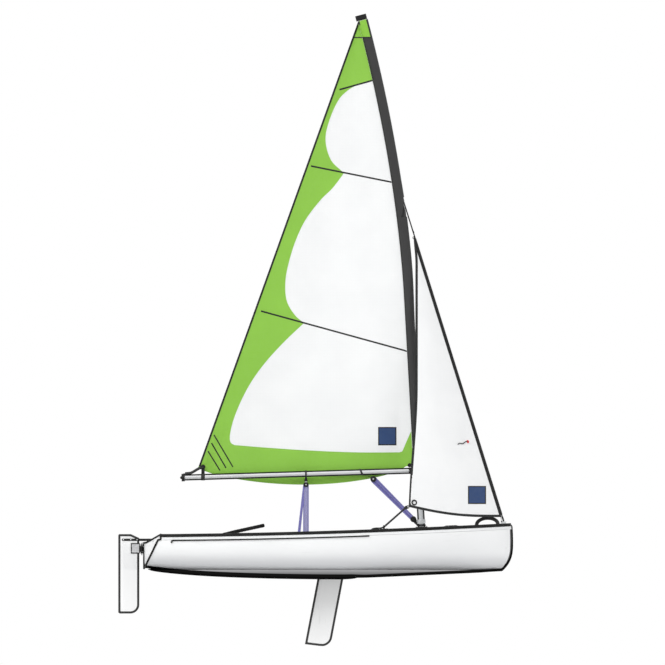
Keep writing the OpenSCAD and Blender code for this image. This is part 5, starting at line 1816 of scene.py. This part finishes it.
# ---------------------------------------------------------------- CAD nodes that stay in view
boom_zero = (boom_h(0) - DRAUGHT) * MM
mast_zero = mast_line(DRAUGHT) * MM
NODE_LOOKS = dict.fromkeys(
    ("mast_step", "transom_plate", "gudgeons", "mast_cap", "hounds_fitting", "gooseneck",
     "boom_aft_cap", "jib_clew_ring", "daggerboard_head"), mat_plastic)
NODE_LOOKS.update({
    "bow_plate": mat_steel, "rudder_pin": mat_steel, "vang_bracket": mat_alloy,
    "upper_mast": mat_tube, "tiller": mat_tube, "tiller_joint": mat_rubber,
    "rudder_bracket": bracket_finish((PIN_X - 22) * MM, *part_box("rudder_bracket")),
    "lower_mast": edged_spar("mast_alloy_satin", (0.66, 0.67, 0.68), BLACK, (60, 60, 1.2),
                             (0, -math.tan(math.radians(MAST_RAKE))), mast_zero, 0.0175),
    "boom": edged_spar("boom_alloy_satin", (0.62, 0.625, 0.635), BLACK, (1.2, 60, 60),
                       (1, math.tan(BOOM_TILT)), boom_zero, 0.0132),
})
ROUNDED = {"transom_plate": 1.5, "mast_cap": 3.0, "gudgeons": 1.0, "bow_plate": 0.6,
           "vang_bracket": 1.2, "rudder_bracket": 0.8, "daggerboard_head": 3.0,
           "boom_aft_cap": 1.5, "gooseneck": 1.2, "mast_step": 1.2, "jib_clew_ring": 1.4}
for name, look in NODE_LOOKS.items():
    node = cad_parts[name]
    node.data.materials.clear()
    node.data.materials.append(look)
    node.data.polygons.foreach_set("material_index", [0] * len(node.data.polygons))
    if name in ROUNDED:
        weld = node.modifiers.new("weld", "WELD")
        weld.merge_threshold = 1e-6
        edge = node.modifiers.new("edge", "BEVEL")
        edge.width, edge.segments = ROUNDED[name] * MM, 2
        edge.limit_method, edge.angle_limit = "ANGLE", math.radians(40)
        node.modifiers.new("normals", "WEIGHTED_NORMAL")

# ---------------------------------------------------------------- camera, light, floor
camera = bpy.data.objects.new("camera", bpy.data.cameras.new("camera"))
camera.data.type = "ORTHO"
camera.data.ortho_scale = 5.373
camera.location = (0.0364, -10.0, 1.9178)
camera.rotation_euler = (math.pi / 2, 0, 0)
scene.collection.objects.link(camera)
scene.camera = camera
scene.view_settings.view_transform = "Standard"


def sun(name, toward, strength, angle):
    data = bpy.data.lights.new(name, "SUN")
    data.energy, data.angle = strength, math.radians(angle)
    o = bpy.data.objects.new(name, data)
    o.rotation_euler = Vector(toward).to_track_quat("-Z", "Y").to_euler()
    scene.collection.objects.link(o)


sun("key", (0.45, 0.75, -0.75), 1.35, 24)
sun("fill", (-0.6, 0.5, -0.35), 0.35, 40)
sun("back", (0.2, -0.8, -0.6), 0.55, 40)

world = bpy.data.worlds.new("studio")
scene.world = world
world.use_nodes = True
w = Nodes(None, tree=world.node_tree)
background = w.tree.nodes["Background"]
background.inputs["Color"].default_value = (1, 1, 1, 1)
path = w.node("LightPath").outputs
bounced = w.math("MAXIMUM", path["Is Glossy Ray"], path["Is Transmission Ray"])
seen = w.math("MAXIMUM", path["Is Camera Ray"], bounced)
split = w.node("SeparateXYZ", {"Vector": w.node("TexCoord").outputs["Generated"]})
below = w.remap(split.outputs["Z"], -0.02, 0.02, 0.98, 0.56)
w.put(background.inputs["Strength"], w.remap(seen, 0.0, 1.0, below, 1.0))

floor_mesh = bpy.data.meshes.new("floor")
floor_mesh.from_pydata([(-200, -200, 0), (200, -200, 0), (200, 200, 0), (-200, 200, 0)], [],
                       [(0, 1, 2, 3)])
floor = bpy.data.objects.new("floor", floor_mesh)
scene.collection.objects.link(floor)
f = Nodes("floor_pale", 0.9)
f.colour(f.blend(f.noise(0.6), (0.93, 0.935, 0.94), (0.9, 0.91, 0.92)))
clear = f.node("BsdfTransparent")
both = f.node("MixShader")
f.put(both.inputs[0], f.node("NewGeometry").outputs["Backfacing"])
f.tree.links.new(f.shader.outputs[0], both.inputs[1])
f.tree.links.new(clear.outputs[0], both.inputs[2])
f.tree.links.new(both.outputs[0], f.tree.nodes["Material Output"].inputs["Surface"])
floor_mesh.materials.append(f.mat)
